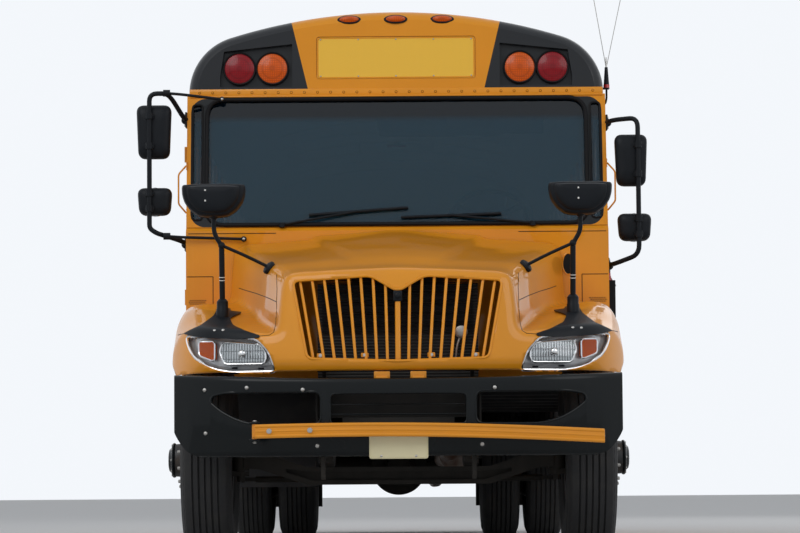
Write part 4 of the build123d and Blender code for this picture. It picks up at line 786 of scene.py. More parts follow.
def makeHoodSolid():
    floorZ = hoodLow.z - 0.09
    side = hoodHigh.x + 0.002
    long = hoodHigh.y - hoodLow.y
    bonnet = [(share, ((0, floorZ), (foot, floorZ), (shoulder, shoulderZ), (0, crest)))
              for share, foot, shoulder, shoulderZ, crest in hoodForm["bonnet"]]
    fender = [(share, ((0, floorZ), (side, floorZ), (side, sideZ + 0.02), (side - 0.05, sideZ + 0.105),
                       (side - 0.14, sideZ + 0.128), (0.60, innerZ), (0, innerZ)))
              for share, sideZ, innerZ in hoodForm["fender"]]
    form = bmesh.new()
    for part in (bonnet, fender):
        loft(form, [[(x, hoodLow.y + share * long, z) for x, z in softened(bothSides(half), 0.07, 4)]
                    for share, half in part])
    form = changed(scratch(form, "hoodRough"), "REMESH", mode="VOXEL", voxel_size=hoodForm["voxel"])
    for vert in form.verts:
        back = vert.co.y - hoodLow.y
        lean = 0.19 * max(0.0, vert.co.z - 1.04) * (1 - smoothstep(back, 0.05, 0.45))
        vert.co.y += noseSweep(vert.co.x) * max(0.0, 1 - back / 1.15) + lean
    eased(form, hoodForm["easing"])
    for vert in form.verts:
        share = (vert.co.y - hoodLow.y) / long
        edge = hoodForm["bulgeFront"] + (hoodForm["bulgeRear"] - hoodForm["bulgeFront"]) * share
        if vert.co.z > 1.4:
            rise = smoothstep(edge - abs(vert.co.x), -0.02, 0.045) * smoothstep(share, 0.12, 0.42)
            vert.co.z += hoodForm["bulge"] * rise
        under = min(1.5, max(0.0, (hoodForm["tuckTop"] - vert.co.z) / hoodForm["tuckTall"]))
        vert.co.y += hoodForm["tuck"] * under ** 1.5 * (1 - smoothstep(share, 0.08, 0.2))
    form = changed(scratch(form, "hoodFine"), "DECIMATE", ratio=hoodForm["thinning"])
    bmesh.ops.recalc_face_normals(form, faces=form.faces)
    return form


hoodSolid = makeHoodSolid()
hoodTree = BVHTree.FromBMesh(hoodSolid)
print("hood form:", len(hoodSolid.faces), "faces")


def onHood(x, z, sunk=0.0):
    # the place on the hood's skin that is seen from the front at x and z
    hit = hoodTree.ray_cast(Vector((x, hoodLow.y - 0.5, z)), backward)[0]
    return hit + backward * sunk if hit else None


def lampOutline(outline, bend, side=1):
    return [(side * x, z) for x, z in softened(outline, bend, 4)]


def lampCutter(outline, gap=0.0, deep=0.9):
    # both lamps' outline, drawn in by a gap, as cutters from the front
    cutter = bmesh.new()
    middle = Vector((sum(x for x, z in outline), sum(z for x, z in outline))) / len(outline)
    for side in (-1, 1):
        shape = [Vector(point) for point in lampOutline(outline, hoodForm["lampBend"])]
        shape = [point + (middle - point).normalized() * gap for point in shape]
        prism(cutter, [(side * point.x, point.y) for point in shape], "Y", hoodLow.y - 0.1, hoodLow.y + deep, index=1)
    return cutter


def makeHood():
    cutter = lampCutter(hoodForm["lamp"], 0.0, 0.70)
    opening = softened(bothSides(hoodForm["grille"]), hoodForm["grilleBend"])
    prism(cutter, opening, "Y", hoodLow.y - 0.1, hoodLow.y + 0.5, index=1)
    form = cutWith(hoodSolid.copy(), cutter)
    arches = bmesh.new()
    drum(arches, (-1.4, axleY, hubZ), (1.4, axleY, hubZ), hoodForm["archRadius"], None, 72, 1)
    form = cutWith(form, arches)
    bmesh.ops.delete(form, geom=[face for face in form.faces if face.material_index == 1], context="FACES")
    for place, normal in (((0, 0, hoodLow.z + 0.018), -upward), ((0, hoodHigh.y, 0), backward)):
        everything = form.verts[:] + form.edges[:] + form.faces[:]
        bmesh.ops.bisect_plane(form, geom=everything, plane_co=place, plane_no=normal, clear_outer=True)
    dropLoose(form)
    hood = keep(form, "hoodShell", "hood", "bus_yellow", "hood", angle=38)
    wall = hood.modifiers.new("wall", "SOLIDIFY")
    wall.thickness = hoodForm["wall"]
    wall.offset = -1
    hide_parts("hood")


def skinPatch(cutter, rear, turned):
    # the hood's own skin inside a cutter, without what lies behind rear or is turned away
    patch = cutWith(hoodSolid.copy(), cutter, "INTERSECT")
    waste = [face for face in patch.faces if face.material_index or face.calc_center_median().y >= rear
             or face.normal.y >= turned]
    bmesh.ops.delete(patch, geom=waste, context="FACES")
    dropLoose(patch)
    return patch


def hoodPatch(form, outline, gap, sunk, wall, index):
    # a piece of the hood's skin inside an outline, set back and given a wall
    patch = skinPatch(lampCutter(outline, gap), hoodLow.y + 0.72, -0.05)
    bmesh.ops.translate(patch, vec=(0, sunk, 0), verts=patch.verts)
    bmesh.ops.solidify(patch, geom=patch.faces[:], thickness=wall)
    coloured(patch.faces, index)
    joined(form, patch)


def makeHeadlights():
    lamp = {
        "beam": ((0.700, 1.014), (0.690, 1.062), (0.722, 1.116), (0.922, 1.134), (0.944, 1.085), (0.915, 1.016)),
        "signal": ((0.968, 1.032), (0.968, 1.140), (1.058, 1.145), (1.056, 1.066)),
        "coverSunk": 0.002, "innerSunk": 0.028, "backSunk": 0.060, "innerWall": 0.020, "bulb": (0.820, 1.07),
    }
    form = bmesh.new()
    hoodPatch(form, hoodForm["lamp"], 0.004, lamp["backSunk"], 0.004, 4)
    hoodPatch(form, lamp["beam"], 0.0, lamp["innerSunk"], lamp["innerWall"], 1)
    hoodPatch(form, lamp["signal"], 0.0, lamp["innerSunk"], lamp["innerWall"], 2)
    for side in (-1, 1):
        for outline, bend, sunk, radius in ((hoodForm["lamp"], hoodForm["lampBend"], 0.012, 0.009),
                                            (lamp["beam"], 0.02, 0.028, 0.005), (lamp["signal"], 0.02, 0.028, 0.005)):
            tube(form, [onHood(x, z, sunk) for x, z in lampOutline(outline, bend, side)], radius, loop=True)
        bulbX, bulbZ = lamp["bulb"]
        dome(form, onHood(side * bulbX, bulbZ, 0.022), (0, -1, 0.05), 0.022, 0.018, 16, 8)
        for x, z in ((0.72, 0.99), (0.86, 0.995)):   # adjusters
            slabAt(form, onHood(side * x, z, 0.031), (0.016, 0.005, 0.005), 0.002, 1, 3)
    units = keep(form, "headlightUnits", "hood", "lamp_lens", "chrome", "flutes", "amber lens", "plastic", "housing")
    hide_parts("headlights")
    form = bmesh.new()
    hoodPatch(form, hoodForm["lamp"], 0.003, lamp["coverSunk"], 0.003, 0)
    keep(form, "headlightCovers", "hood", "lamp_lens", "clear")


makeHood()
makeHeadlights()
print("hood and headlights")


# Grille: rounded bars that fan out behind the nose, with a bead round the opening
def makeGrille():
    grille = {"bars": 8, "half": 0.0078, "middleHalf": 0.0145, "sunk": 0.011, "deep": 0.034, "cuts": 10,
              "topHalf": 0.553, "footHalf": 0.475, "low": 1.008, "spread": 8.62,
              "latch": (0, 1.37), "tabs": (7.35, 3.15), "tabZ": 1.052, "fins": 26, "finZ": 1.18, "finPitch": 0.0125}
    top, foot = (grille[label] / grille["spread"] for label in ("topHalf", "footHalf"))
    form = bmesh.new()
    for number in range(-grille["bars"], grille["bars"] + 1):
        half = grille["half"] if number else grille["middleHalf"]
        topX, footX = number * top, number * foot
        high = 1.395 + 0.607 * abs(topX) if abs(topX) < 0.14 else 1.492 - 0.055 * (abs(topX) - 0.14)
        bar = bmesh.new()
        slab(bar, (-half, 0, 0), (half, grille["deep"], 1))

        def upright():
            return [edge for edge in bar.edges if abs(edge.verts[0].co.z - edge.verts[1].co.z) > 0.5]
        bevelled(bar, [edge for edge in upright() if edge.verts[0].co.y < 0.001], half * 0.75, 3)
        bmesh.ops.subdivide_edges(bar, edges=upright(), cuts=grille["cuts"], use_grid_fill=True)
        for vert in bar.verts:
            z = grille["low"] + (high - grille["low"]) * vert.co.z
            x = footX + (topX - footX) * (z - 1.019) / (1.45 - 1.019)
            vert.co = (x + vert.co.x, onHood(x, min(max(z, 1.0), 1.47), grille["sunk"]).y + vert.co.y, z)
        joined(form, bar)
    bead = [onHood(x, z, 0.003) for x, z in softened(bothSides(hoodForm["grille"]), hoodForm["grilleBend"])]
    tube(form, bead, 0.008, loop=True)
    piece = keep(form, "grilleBars", "hood", "bus_yellow", "yellow")
    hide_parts("grille")
    form = bmesh.new()
    latch = onHood(*grille["latch"], -0.004)
    slab(form, latch + Vector((-0.024, 0, -0.036)), latch + Vector((0.024, 0.05, 0.022)), 0.008)
    dome(form, latch + Vector((0, -0.004, -0.006)), forward, 0.016, 0.010, 14, 6)
    for side, number in product((-1, 1), grille["tabs"]):
        x = side * number * foot
        bolt(form, onHood(x, grille["tabZ"], 0.018), (0, -1, 0.1), 0.008, 1)
        slabAt(form, onHood(x, grille["tabZ"], 0.030), (0.02, 0.006, 0.012), 0.003, 1, 2)
    keep(form, "grilleFittings", "hood", "bus_yellow", "plastic", "steel", "yellow")
    form = bmesh.new()
    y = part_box("radiator")[0].y
    for number in range(grille["fins"]):
        z = grille["finZ"] + number * grille["finPitch"]
        slab(form, (-0.40, y - 0.012, z), (0.40, y - 0.004, z + 0.005))
    tube(form, ((0.30, y - 0.03, 0.98), (0.31, y - 0.035, 1.10), (0.33, y - 0.03, 1.16)), 0.006, 0.04, 8, 1)
    lathe(form, ((0, 0), (0, 0.03), (0.012, 0.034), (0.02, 0.02), (0.02, 0)), (0.335, y - 0.03, 1.18), forward, 20, 1)
    keep(form, "radiatorFins", "chassis", "radiator_alloy", "chassis", "steel")


# Seams painted as thin dark lines of shade, and small fittings on the hood
def makeHoodTrim():
    trim = {
        "radius": 0.0022, "tabs": (-0.085, 0.105),
        "seams": (
            ((0.640, 1.30), (0.644, 1.23), (0.652, 1.180), (0.675, 1.164), (0.74, 1.160), (0.90, 1.172), (1.10, 1.190),
             (1.205, 1.196)),
            ((0.642, 1.348), (0.70, 1.385), (0.78, 1.432), (0.85, 1.468), (0.905, 1.500)),
            ((0.645, 1.50), (0.640, 1.42), (0.641, 1.345), (0.640, 1.30)),
        ),
    }
    form = bmesh.new()
    for side, seam in product((-1, 1), trim["seams"]):
        route = []
        for (x0, z0), (x1, z1) in zip(seam, seam[1:]):
            for share in (step / 8 for step in range(8)):
                route.append(onHood(side * (x0 + (x1 - x0) * share), z0 + (z1 - z0) * share, 0.0008))
        tube(form, [spot for spot in route if spot], trim["radius"], 0, 6)
    # the seams are thin black tubes sunk into the skin: painted shade in the hood's creases
    keep(form, "hoodSeamShadeLines", "hood", "black_trim", "gasket")
    form = bmesh.new()
    for x in trim["tabs"]:   # latch tabs under the nose
        y = onHood(x, hoodLow.z + 0.02).y
        slab(form, (x - 0.042, y - 0.005, hoodLow.z - 0.034), (x + 0.042, y + 0.010, hoodLow.z + 0.012), 0.004)
        drum(form, (x - 0.030, y - 0.008, hoodLow.z - 0.022), (x + 0.030, y - 0.008, hoodLow.z - 0.022), 0.009)
    keep(form, "noseTabs", "hood", "bus_yellow", "yellow")


makeGrille()
makeHoodTrim()
print("grille, hood seams and tabs")


# Front bumper: a bowed channel with rolled edges, smile-shaped air openings and round bolts
bumperLow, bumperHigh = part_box("front_bumper")
bumper = {
    "faceY": bumperLow.y + 0.029 + 0.015, "endX": bumperHigh.x, "top": 0.928, "endRise": 0.034, "low": bumperLow.z,
    "deep": 0.070, "roll": 0.030, "stations": 36, "bars": (0.742, 0.792),
    "air": softened(((0.400, 0.690), (0.400, 0.862), (0.900, 0.862), (0.972, 0.848), (0.985, 0.812), (0.930, 0.765),
                     (0.840, 0.715), (0.740, 0.690)), 0.045),
    "middle": pane(-0.355, 0.690, 0.355, 0.850, 0.03),
    "corner": softened(((1.02, 0.40), (1.02, 0.524), (1.10, 0.545), (1.15, 0.60), (1.185, 0.66), (1.222, 0.90),
                        (1.4, 0.90), (1.4, 0.4)), 0.04),
    "bolts": ((-1.014, 0.878), (-0.789, 0.885), (-0.496, 0.871), (0.500, 0.876), (-1.009, 0.651), (-0.421, 0.579),
              (0.432, 0.582)),
}


def bumperY(x):
    x = abs(x)
    if x < 0.7:
        return bumper["faceY"] + 0.066 * (x / 0.7) ** 2
    side = x - 0.7
    return bumper["faceY"] + 0.066 + 0.19 * side + 0.613 * side * side


def makeBumper():
    face, low = bumper["faceY"], bumper["low"]
    sections = []
    for number in range(bumper["stations"] + 1):
        x = bumper["endX"] * (2 * number / bumper["stations"] - 1)
        top = bumper["top"] + bumper["endRise"] * (abs(x) / bumper["endX"]) ** 2
        front, back = bumperY(x), bumperY(x) + bumper["deep"]
        outline = softened(((front, low), (front, top), (back, top), (back, low)), bumper["roll"], 4)
        sections.append([(x, y, z) for y, z in outline])
    form, cutter = bmesh.new(), bmesh.new()
    loft(form, sections)
    prism(cutter, bumper["middle"], "Y", face - 0.1, face + 0.6)
    for side, outline in product((-1, 1), (bumper["air"], bumper["corner"])):
        prism(cutter, [(side * x, z) for x, z in outline], "Y", face - 0.1, face + 0.6)
    form = cutWith(form, cutter)
    for side, outline, radius in ((-1, bumper["air"], 0.007), (1, bumper["air"], 0.007), (1, bumper["middle"], 0.006)):
        tube(form, [(side * x, bumperY(x) + 0.004, z) for x, z in outline], radius, loop=True)
    for z in bumper["bars"]:
        tube(form, ((-0.36, face + 0.06, z), (0.36, face + 0.06, z)), 0.005)
    for x, z in bumper["bolts"]:
        dome(form, (x, bumperY(x) - 0.001, z), forward, 0.0115, 0.008, 14, 6, 1)
        drum(form, (x, bumperY(x) + 0.004, z), (x, bumperY(x) - 0.003, z), 0.018, None, 16)
    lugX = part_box("crossing_arm")[0].x + 0.015
    for low, high in ((0.604, 0.616), (0.692, 0.704)):
        slab(form, (lugX - 0.030, face - 0.045, low), (lugX + 0.030, face + 0.02, high), 0.005)
    piece = keep(form, "bumperChannel", "chassis", "black_trim", "gloss black", "steel", angle=40)
    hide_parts("front_bumper")


def makePlate():
    plate = {"half": 0.1525, "low": 0.510, "high": 0.662, "rim": 0.0065, "boltX": 0.09, "boltIn": 0.014}
    half, low, high = plate["half"], plate["low"], plate["high"]
    y = bumper["faceY"] - 0.006
    form = bmesh.new()
    prism(form, pane(-half, low, half, high, 0.014), "Y", y, y + 0.003, 0.0008, 1)
    half -= plate["rim"]
    hoop(form, pane(-half, low + 0.007, half, high - 0.007, 0.012), "Y", y - 0.0005, 0.0022, 6)
    for x, z in product((-plate["boltX"], plate["boltX"]), (low + plate["boltIn"], high - plate["boltIn"])):
        dome(form, (x, y - 0.001, z), forward, 0.007, 0.004, 10, 5, 1)
    slab(form, (-0.10, y + 0.004, 0.53), (0.10, y + 0.02, 0.56), 0.003, 1, 2)
    keep(form, "barePlate", "chassis", "black_trim", "plate", "steel", "plastic")


def makeCrossingArm():
    armLow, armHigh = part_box("crossing_arm")
    arm = {"droop": 0.034, "rise": 0.012, "cuts": 26, "low": 0.618, "high": 0.690, "bolts": (0.075, 0.285),
           "pin": 0.044}
    rootX, tipX, y = armLow.x + 0.015, armHigh.x, armLow.y
    low, high = arm["low"], arm["high"]
    middle = (low + high) / 2
    form = bmesh.new()
    slab(form, (rootX, y + 0.006, low), (tipX, y + 0.030, high), 0.006, 3)
    for offset, radius in ((0.026, 0.0105), (0.0, 0.0085), (-0.026, 0.0105)):
        z = middle + offset
        drum(form, (rootX + 0.004, y + 0.012, z), (tipX - 0.003, y + 0.012, z), radius, None, 12)
    lengthwise = [edge for edge in form.edges if abs(edge.verts[0].co.x - edge.verts[1].co.x) > 0.5]
    bmesh.ops.subdivide_edges(form, edges=lengthwise, cuts=arm["cuts"], use_grid_fill=True)
    for x in arm["bolts"]:
        bolt(form, (rootX + x, y + 0.002, middle), forward, 0.011, 1)
    dome(form, (tipX - 0.004, y + 0.018, middle), (1, 0, 0), 0.010, 0.006, 10, 5, 1)
    for vert in form.verts:
        share = (vert.co.x - rootX) / (tipX - rootX)
        vert.co.z += arm["rise"] * math.sin(math.pi * min(1, max(0, share))) - arm["droop"] * max(0, share) ** 2
    pinY = y + arm["pin"]
    for past, radius, sides, index in ((0.004, 0.015, 20, 0), (0.018, 0.008, 16, 1)):
        drum(form, (rootX, pinY, low - past), (rootX, pinY, high + past), radius, None, sides, index)
    slab(form, (rootX - 0.012, y + 0.020, low + 0.004), (rootX + 0.05, pinY, high - 0.004), 0.004, 1)
    for z in (low - 0.020, high + 0.018):
        dome(form, (rootX, pinY, z), upward, 0.012, 0.006, 12, 6, 1)
    piece = keep(form, "crossingArmBar", "crossing_arm", "arm_yellow", "arm", "steel")
    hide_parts("crossing_arm")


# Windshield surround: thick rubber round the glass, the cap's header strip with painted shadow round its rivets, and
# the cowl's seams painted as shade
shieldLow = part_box("windshield_frame")[0]
rakeSlope = math.tan(math.radians(9))
roofTree, capTree = treeOf("roof"), treeOf("front_cap")


def makeGasket():
    gasket = {"half": 1.104, "low": 1.884, "high": 2.628, "bend": 0.11, "radius": 0.013, "inner": 1.128, "outer": 1.186}
    half, low, high = gasket["half"], gasket["low"], gasket["high"]
    form = bmesh.new()
    rings = [(pane(-half, low, half, high, gasket["bend"], 8), 0.002, gasket["radius"], 10)]
    rings += [(pane(side * gasket["inner"], low + 0.03, side * gasket["outer"], high - 0.03, 0.022, 4), 0.001, 0.007, 8)
              for side in (-1, 1)]
    for ring, out, radius, sides in rings:   # on the leaning plane of the windshield's frame
        route = [(x, shieldLow.y + (z - shieldLow.z) * rakeSlope - out, z) for x, z in ring]
        tube(form, route, radius, 0, sides, loop=True)
    keep(form, "windshieldRubber", "chassis", "black_trim", "gasket")


def makeHeader():
    header = {"low": 2.647, "high": 2.690, "half": 1.205, "pitch": 0.0765, "seamX": 1.219, "seamSteps": 24}
    capLow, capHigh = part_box("front_cap")
    half, low, high, y = header["half"], header["low"], header["high"], capLow.y
    form = bmesh.new()
    slab(form, (-half, y - 0.004, low), (half, y + 0.05, high), 0.003)
    slab(form, (-half, y - 0.010, low - 0.006), (half, y + 0.04, low + 0.003), 0.003)
    count = int(2 * half / header["pitch"])
    z = (low + high) / 2
    for number in range(count):
        x = (number - (count - 1) / 2) * header["pitch"]
        # a darker ring round each rivet head, painted as its shadow
        drum(form, (x, y - 0.0035, z), (x, y - 0.0048, z), 0.0085, 0.0078, 10, 1)
        dome(form, (x, y - 0.0045, z), forward, 0.0060, 0.004)
    keep(form, "headerStrip", "chassis", "bus_yellow", "yellow", "painted shade")
    form = bmesh.new()
    for side in (-1, 1):   # a seam over the roof, round the cap's rear edge
        route = []
        for step in range(header["seamSteps"]):
            x = side * header["seamX"] * (1 - step / header["seamSteps"])
            hit = roofTree.ray_cast(Vector((x, capHigh.y + 0.05, 4)), -upward)[0]
            if hit:
                route.append(hit + Vector((0, -0.05, 0.001)))
        tube(form, route + [(0, capHigh.y, 3.157)], 0.006)
    keep(form, "capSeam", "chassis", "bus_yellow", "gasket")


def makeCowlTrim():
    # seams and rows of drilled air holes painted dark as shade, and the air intake on the cowl's face: a black oval
    # painted as the shade in its opening, inside a yellow lip
    cowlTrim = {
        "intakeX": 0.985, "intakeZ": 1.643, "wide": 0.034, "tall": 0.062, "seam": 0.002, "hole": 0.0042,
        "seams": (((0.70, 1.832), (1.205, 1.832)), ((1.063, 1.583), (1.213, 1.583)), ((1.063, 1.583), (1.063, 1.40))),
        "rows": 3, "columns": 7, "holeX": 1.108, "holeZ": 1.446, "across": 0.0140, "down": 0.0100,
    }
    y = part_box("cowl")[0].y - 0.0005
    form = bmesh.new()
    for side in (-1, 1):
        for route in cowlTrim["seams"]:
            tube(form, [(side * x, y, z) for x, z in route], cowlTrim["seam"], 0, 6)
        for row, number in product(range(cowlTrim["rows"]), range(cowlTrim["columns"])):
            x = side * (cowlTrim["holeX"] + (number + row % 2 / 2) * cowlTrim["across"])
            z = cowlTrim["holeZ"] - row * cowlTrim["down"]
            drum(form, (x, y + 0.004, z), (x, y - 0.0006, z), cowlTrim["hole"], None, 6)
    lip = [(cowlTrim["intakeX"] + a, cowlTrim["intakeZ"] + b) for a, b in oval(cowlTrim["wide"], cowlTrim["tall"], 28)]
    prism(form, lip, "Y", y - 0.0015, y + 0.004)
    hoop(form, lip, "Y", y, 0.0045, 8, 1)
    keep(form, "cowlTrim", "chassis", "black_trim", "gasket", "yellow")


makeBumper()
makePlate()
makeCrossingArm()
makeGasket()
makeHeader()
makeCowlTrim()
print("bumper, plate, crossing arm, windshield surround, header and cowl")


# Warning lamps, marker lamps and the bare sign panels, on the cap and on the rear wall
def warningLamp(form, place, axis, lens):
    # a gasket ring and a ribbed domed lens
    lathe(form, ((-0.030, 0), (-0.030, 0.088), (0.0, 0.097), (0.008, 0.097), (0.012, 0.094), (0.010, 0.088),
                 (0.0, 0.086), (0.0, 0)), place, axis, 40)
    radius, rings = 0.0885, 8
    dish = [(0.0, 0), (0.0, radius), (0.004, radius)]
    for step in range(1, rings + 1):
        share = step / rings
        dish.append((0.004 + 0.020 * math.sin(math.pi / 2 * share) + 0.0012 * (step % 2), radius * (1 - share)))
    lathe(form, dish, place, axis, 40, lens)


def makeLamps():
    lamps = {"centres": ((0.915, 1), (0.723, 2)), "frontZ": 2.813, "rearZ": 2.790, "sunk": 0.014}
    low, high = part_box("warning_lamps")
    form = bmesh.new()
    for side, (x, lens) in product((-1, 1), lamps["centres"]):
        warningLamp(form, (side * x, low.y + lamps["sunk"], lamps["frontZ"]), forward, lens)
        warningLamp(form, (side * x, high.y - lamps["sunk"], lamps["rearZ"]), backward, lens)
    piece = keep(form, "warningLampUnits", "chassis", "sign_red", "gasket", "red lens", "amber lens", angle=25)
    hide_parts("warning_lamps")


def markerLamp(form, place, direction, lens, across=True):
    # an oval clearance lamp on a low base
    for stretch, height, index in (((0.070, 0.029), 0.012, 0), ((0.060, 0.022), 0.024, lens)):
        stretch = stretch if across else stretch[::-1]
        ball(form, facing(direction, place) @ Matrix.Diagonal((*stretch, height, 1)), 18, 8, index)


def makeMarkers():
    markers = {"places": (-0.272, 0.0, 0.272), "z": 3.096, "rearZ": 3.045, "rearSide": (0.98, 2.96),
               "flanks": ((-2.8, 1), (0.9, 1), (5.0, 2)), "flankZ": 2.66}
    form = bmesh.new()
    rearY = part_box("rear_wall")[1].y
    for x in markers["places"]:
        place, way = capTree.ray_cast(Vector((x, -4.2, markers["z"])), backward)[:2]
        markerLamp(form, place, (way if way.y < 0 else -way).lerp(forward, 0.4), 1)
        markerLamp(form, (x, rearY - 0.002, markers["rearZ"]), backward, 2)
    for side in (-1, 1):
        x, z = markers["rearSide"]
        markerLamp(form, (side * x, rearY - 0.006, z), backward, 2)
        for y, lens in markers["flanks"]:
            way = Vector((side, 0, 0))
            place = roofTree.ray_cast(Vector((side * 3, y, markers["flankZ"])), -way)[0]
            if place:
                markerLamp(form, place, way, lens, False)
    keep(form, "markerLamps", "chassis", "sign_red", "plastic", "amber lens", "red lens")


def signBoard(form, y, z, way):
    # a bare sheet in its recess, with a raised edge and screws; way is -1 forward and 1 to the rear
    half, tall = 0.462, 0.122
    start, end = sorted((y, y + way * 0.004))
    prism(form, pane(-half, z - tall, half, z + tall, 0.02), "Y", start, end, 0.001, 1)
    edge = pane(-half + 0.006, z - tall + 0.006, half - 0.006, z + tall - 0.006, 0.018)
    hoop(form, edge, "Y", y + way * 0.004, 0.003, 6, 1)
    for x, rise in product((-0.44, -0.22, 0.0, 0.22, 0.44), (0.014 - tall, tall - 0.014)):
        dome(form, (x, y + way * 0.005, z + rise), (0, way, 0), 0.005, 0.003, index=2)


def makeSigns():
    form = bmesh.new()
    signBoard(form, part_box("front_cap")[0].y + 0.010, 2.871, -1)
    signBoard(form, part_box("rear_wall")[1].y + 0.001, 2.84, 1)
    keep(form, "signBoards", "chassis", "bus_yellow", "sign", "yellow", "steel")


makeLamps()
makeMarkers()
makeSigns()
print("lamps, markers and sign boards")


# Rear-view mirrors on bent tubes: a tall flat glass over a small bowl glass on each side
def mirrorHead(form, centre, wide, tall, deep, curved):
    # a moulded shell that bulges forward, with its glass set in the rear face
    x, y, z = centre
    foot = wide / 2 - 0.012
    outline = softened(((-foot, -tall / 2), (foot, -tall / 2), (wide / 2, tall / 2), (-wide / 2, tall / 2)), 0.046, 6)
    levels = ((0.0, 1.0), (-0.35, 1.0), (-0.62, 0.97), (-0.82, 0.88), (-0.95, 0.70), (-1.0, 0.40))
    rear = y + deep / 2
    loft(form, [[(x + a * share, rear + back * deep, z + b * share) for a, b in outline] for back, share in levels])
    prism(form, [(x + a * 0.93, z + b * 0.93) for a, b in outline], "Y", rear - 0.004, rear + 0.0015, index=1)
    if curved:
        dome(form, (x, rear, z), backward, wide * 0.42, 0.014, 20, 8, 1)


def makeRearMirrors():
    mirrors = {
        "y": -3.540, "face": 1.219, "tube": 0.014,
        # side, tube out, tube top z, tube foot z, tall head (x0, x1, z0, z1), small head (x0, x1, z0, z1)
        "sets": (
            (-1, 0.205, 2.640, 1.880, (0.081, 0.285, 2.268, 2.580), (0.078, 0.281, 1.940, 2.100)),
            (1, 0.171, 2.480, 1.700, (0.039, 0.230, 2.090, 2.390), (0.051, 0.251, 1.773, 1.932)),
        ),
    }
    form = bmesh.new()
    y = mirrors["y"]
    for side, out, topZ, footZ, tall, small in mirrors["sets"]:
        def at(reach, z, back=0.0):
            return Vector((side * (mirrors["face"] + reach), y + back, z))
        way = (side, 0, 0)
        middle = [at(out, topZ), at(out, topZ - 0.25), at(out, (topZ + footZ) / 2)]
        if side > 0:
            feet = ((topZ - 0.002, 0.215), (footZ - 0.060, 0.20))
            top = [at(0.040, topZ, 0.10)]
            low = [at(out, footZ - 0.010), at(0.040, footZ - 0.055, 0.09)]
        else:   # the kerb side's tube is bent down to the wall, and thin stays run to the header and the cowl
            feet = ((topZ - 0.130, 0.215), (footZ - 0.098, 0.20))
            top = [at(0.020, topZ - 0.120, 0.16), at(0.075, topZ - 0.030, 0.05), at(0.105, topZ)]
            low = [at(out, footZ - 0.020), at(out * 0.80, footZ - 0.048), at(0.03, footZ - 0.085, 0.09)]
            for z, inward, foot in ((topZ + 0.002, -0.205, 0.172), (footZ - 0.066, -0.335, 0.040)):
                root = at(inward, z - 0.016, foot)
                tube(form, (at(0.110, z), at(0.02, z - 0.004, 0.03), root), 0.0085, 0.03, 10)
                dome(form, root, forward, 0.017, 0.014, 14, 6)
                dome(form, root + forward * 0.012, forward, 0.008, 0.005, 10, 5, 2)
                drum(form, at(0.085, z, 0.002), at(0.125, z), 0.020, None, 14)
        ends = [at(0.0, *foot) for foot in feet]
        tube(form, ends[:1] + top + middle + low + ends[1:], mirrors["tube"], 0.055, 12)
        for z, back in feet:
            slab(form, at(0.0, z - 0.045, back - 0.035), at(0.012, z + 0.045, back + 0.035), 0.004)
            for rise in (-0.03, 0.03):
                bolt(form, at(0.012, z + rise, back), way, 0.007, 2)
            dome(form, at(0.014, z, back), way, 0.024, 0.022, 14, 8)
        for (x0, x1, z0, z1), curved, deep in ((tall, False, 0.076), (small, True, 0.086)):
            mirrorHead(form, at((x0 + x1) / 2, (z0 + z1) / 2, deep / 2 + 0.012), x1 - x0, z1 - z0, deep, curved)
            for rise in (-0.28, 0.28):   # clamp round the tube, behind the head
                spot = at(out, (z0 + z1) / 2 + rise * (z1 - z0))
                drum(form, spot - upward * 0.018, spot + upward * 0.018, 0.022, None, 16)
                slabAt(form, spot + backward * 0.012, (0.026, 0.018, 0.014), 0.004, 1)
                bolt(form, spot + Vector((0.018, -0.004, 0)), forward, 0.005)
    piece = keep(form, "rearMirrorSets", "chassis", "black_trim", "plastic", "mirror", "steel")
    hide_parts("rearview_mirrors")


# Cross-view mirrors on posts above the fenders
def crossHead(form, centre, side):
    # flat rounded top and a bowl-shaped lower edge, seen from the front; a bulging glass faces the driver
    x, y, z = centre
    half = ((0.0, 0.088), (0.100, 0.088), (0.166, 0.083), (0.172, 0.070), (0.170, 0.030), (0.158, -0.010),
            (0.128, -0.052), (0.088, -0.082), (0.050, -0.090), (0.0, -0.091))
    outline = softened(bothSides(half), 0.014, 3)
    levels = ((0.056, 0.94), (0.050, 0.99), (0.030, 1.0), (0.0, 0.99), (-0.018, 0.95), (-0.026, 0.88), (-0.028, 0.83),
              (-0.040, 0.80), (-0.050, 0.72), (-0.056, 0.55), (-0.058, 0.25))
    loft(form, [[(x + a * share, y + back, z + b * share + 0.020 * (1 - share)) for a, b in outline]
                for back, share in levels])
    ball(form, Matrix.Translation((x, y + 0.040, z + 0.004)) @ Matrix.Diagonal((0.150, 0.044, 0.074, 1)), 24, 12, 1)
    hoop(form, [(x + a * 0.97, z + b * 0.97) for a, b in outline], "Y", y + 0.054, 0.004, 6)
    for rise in (0.048, -0.008):
        dome(form, (x - (0.014 if side > 0 else 0.041), y - 0.057, z + rise), forward, 0.0055, 0.004, 10, 5, 3)


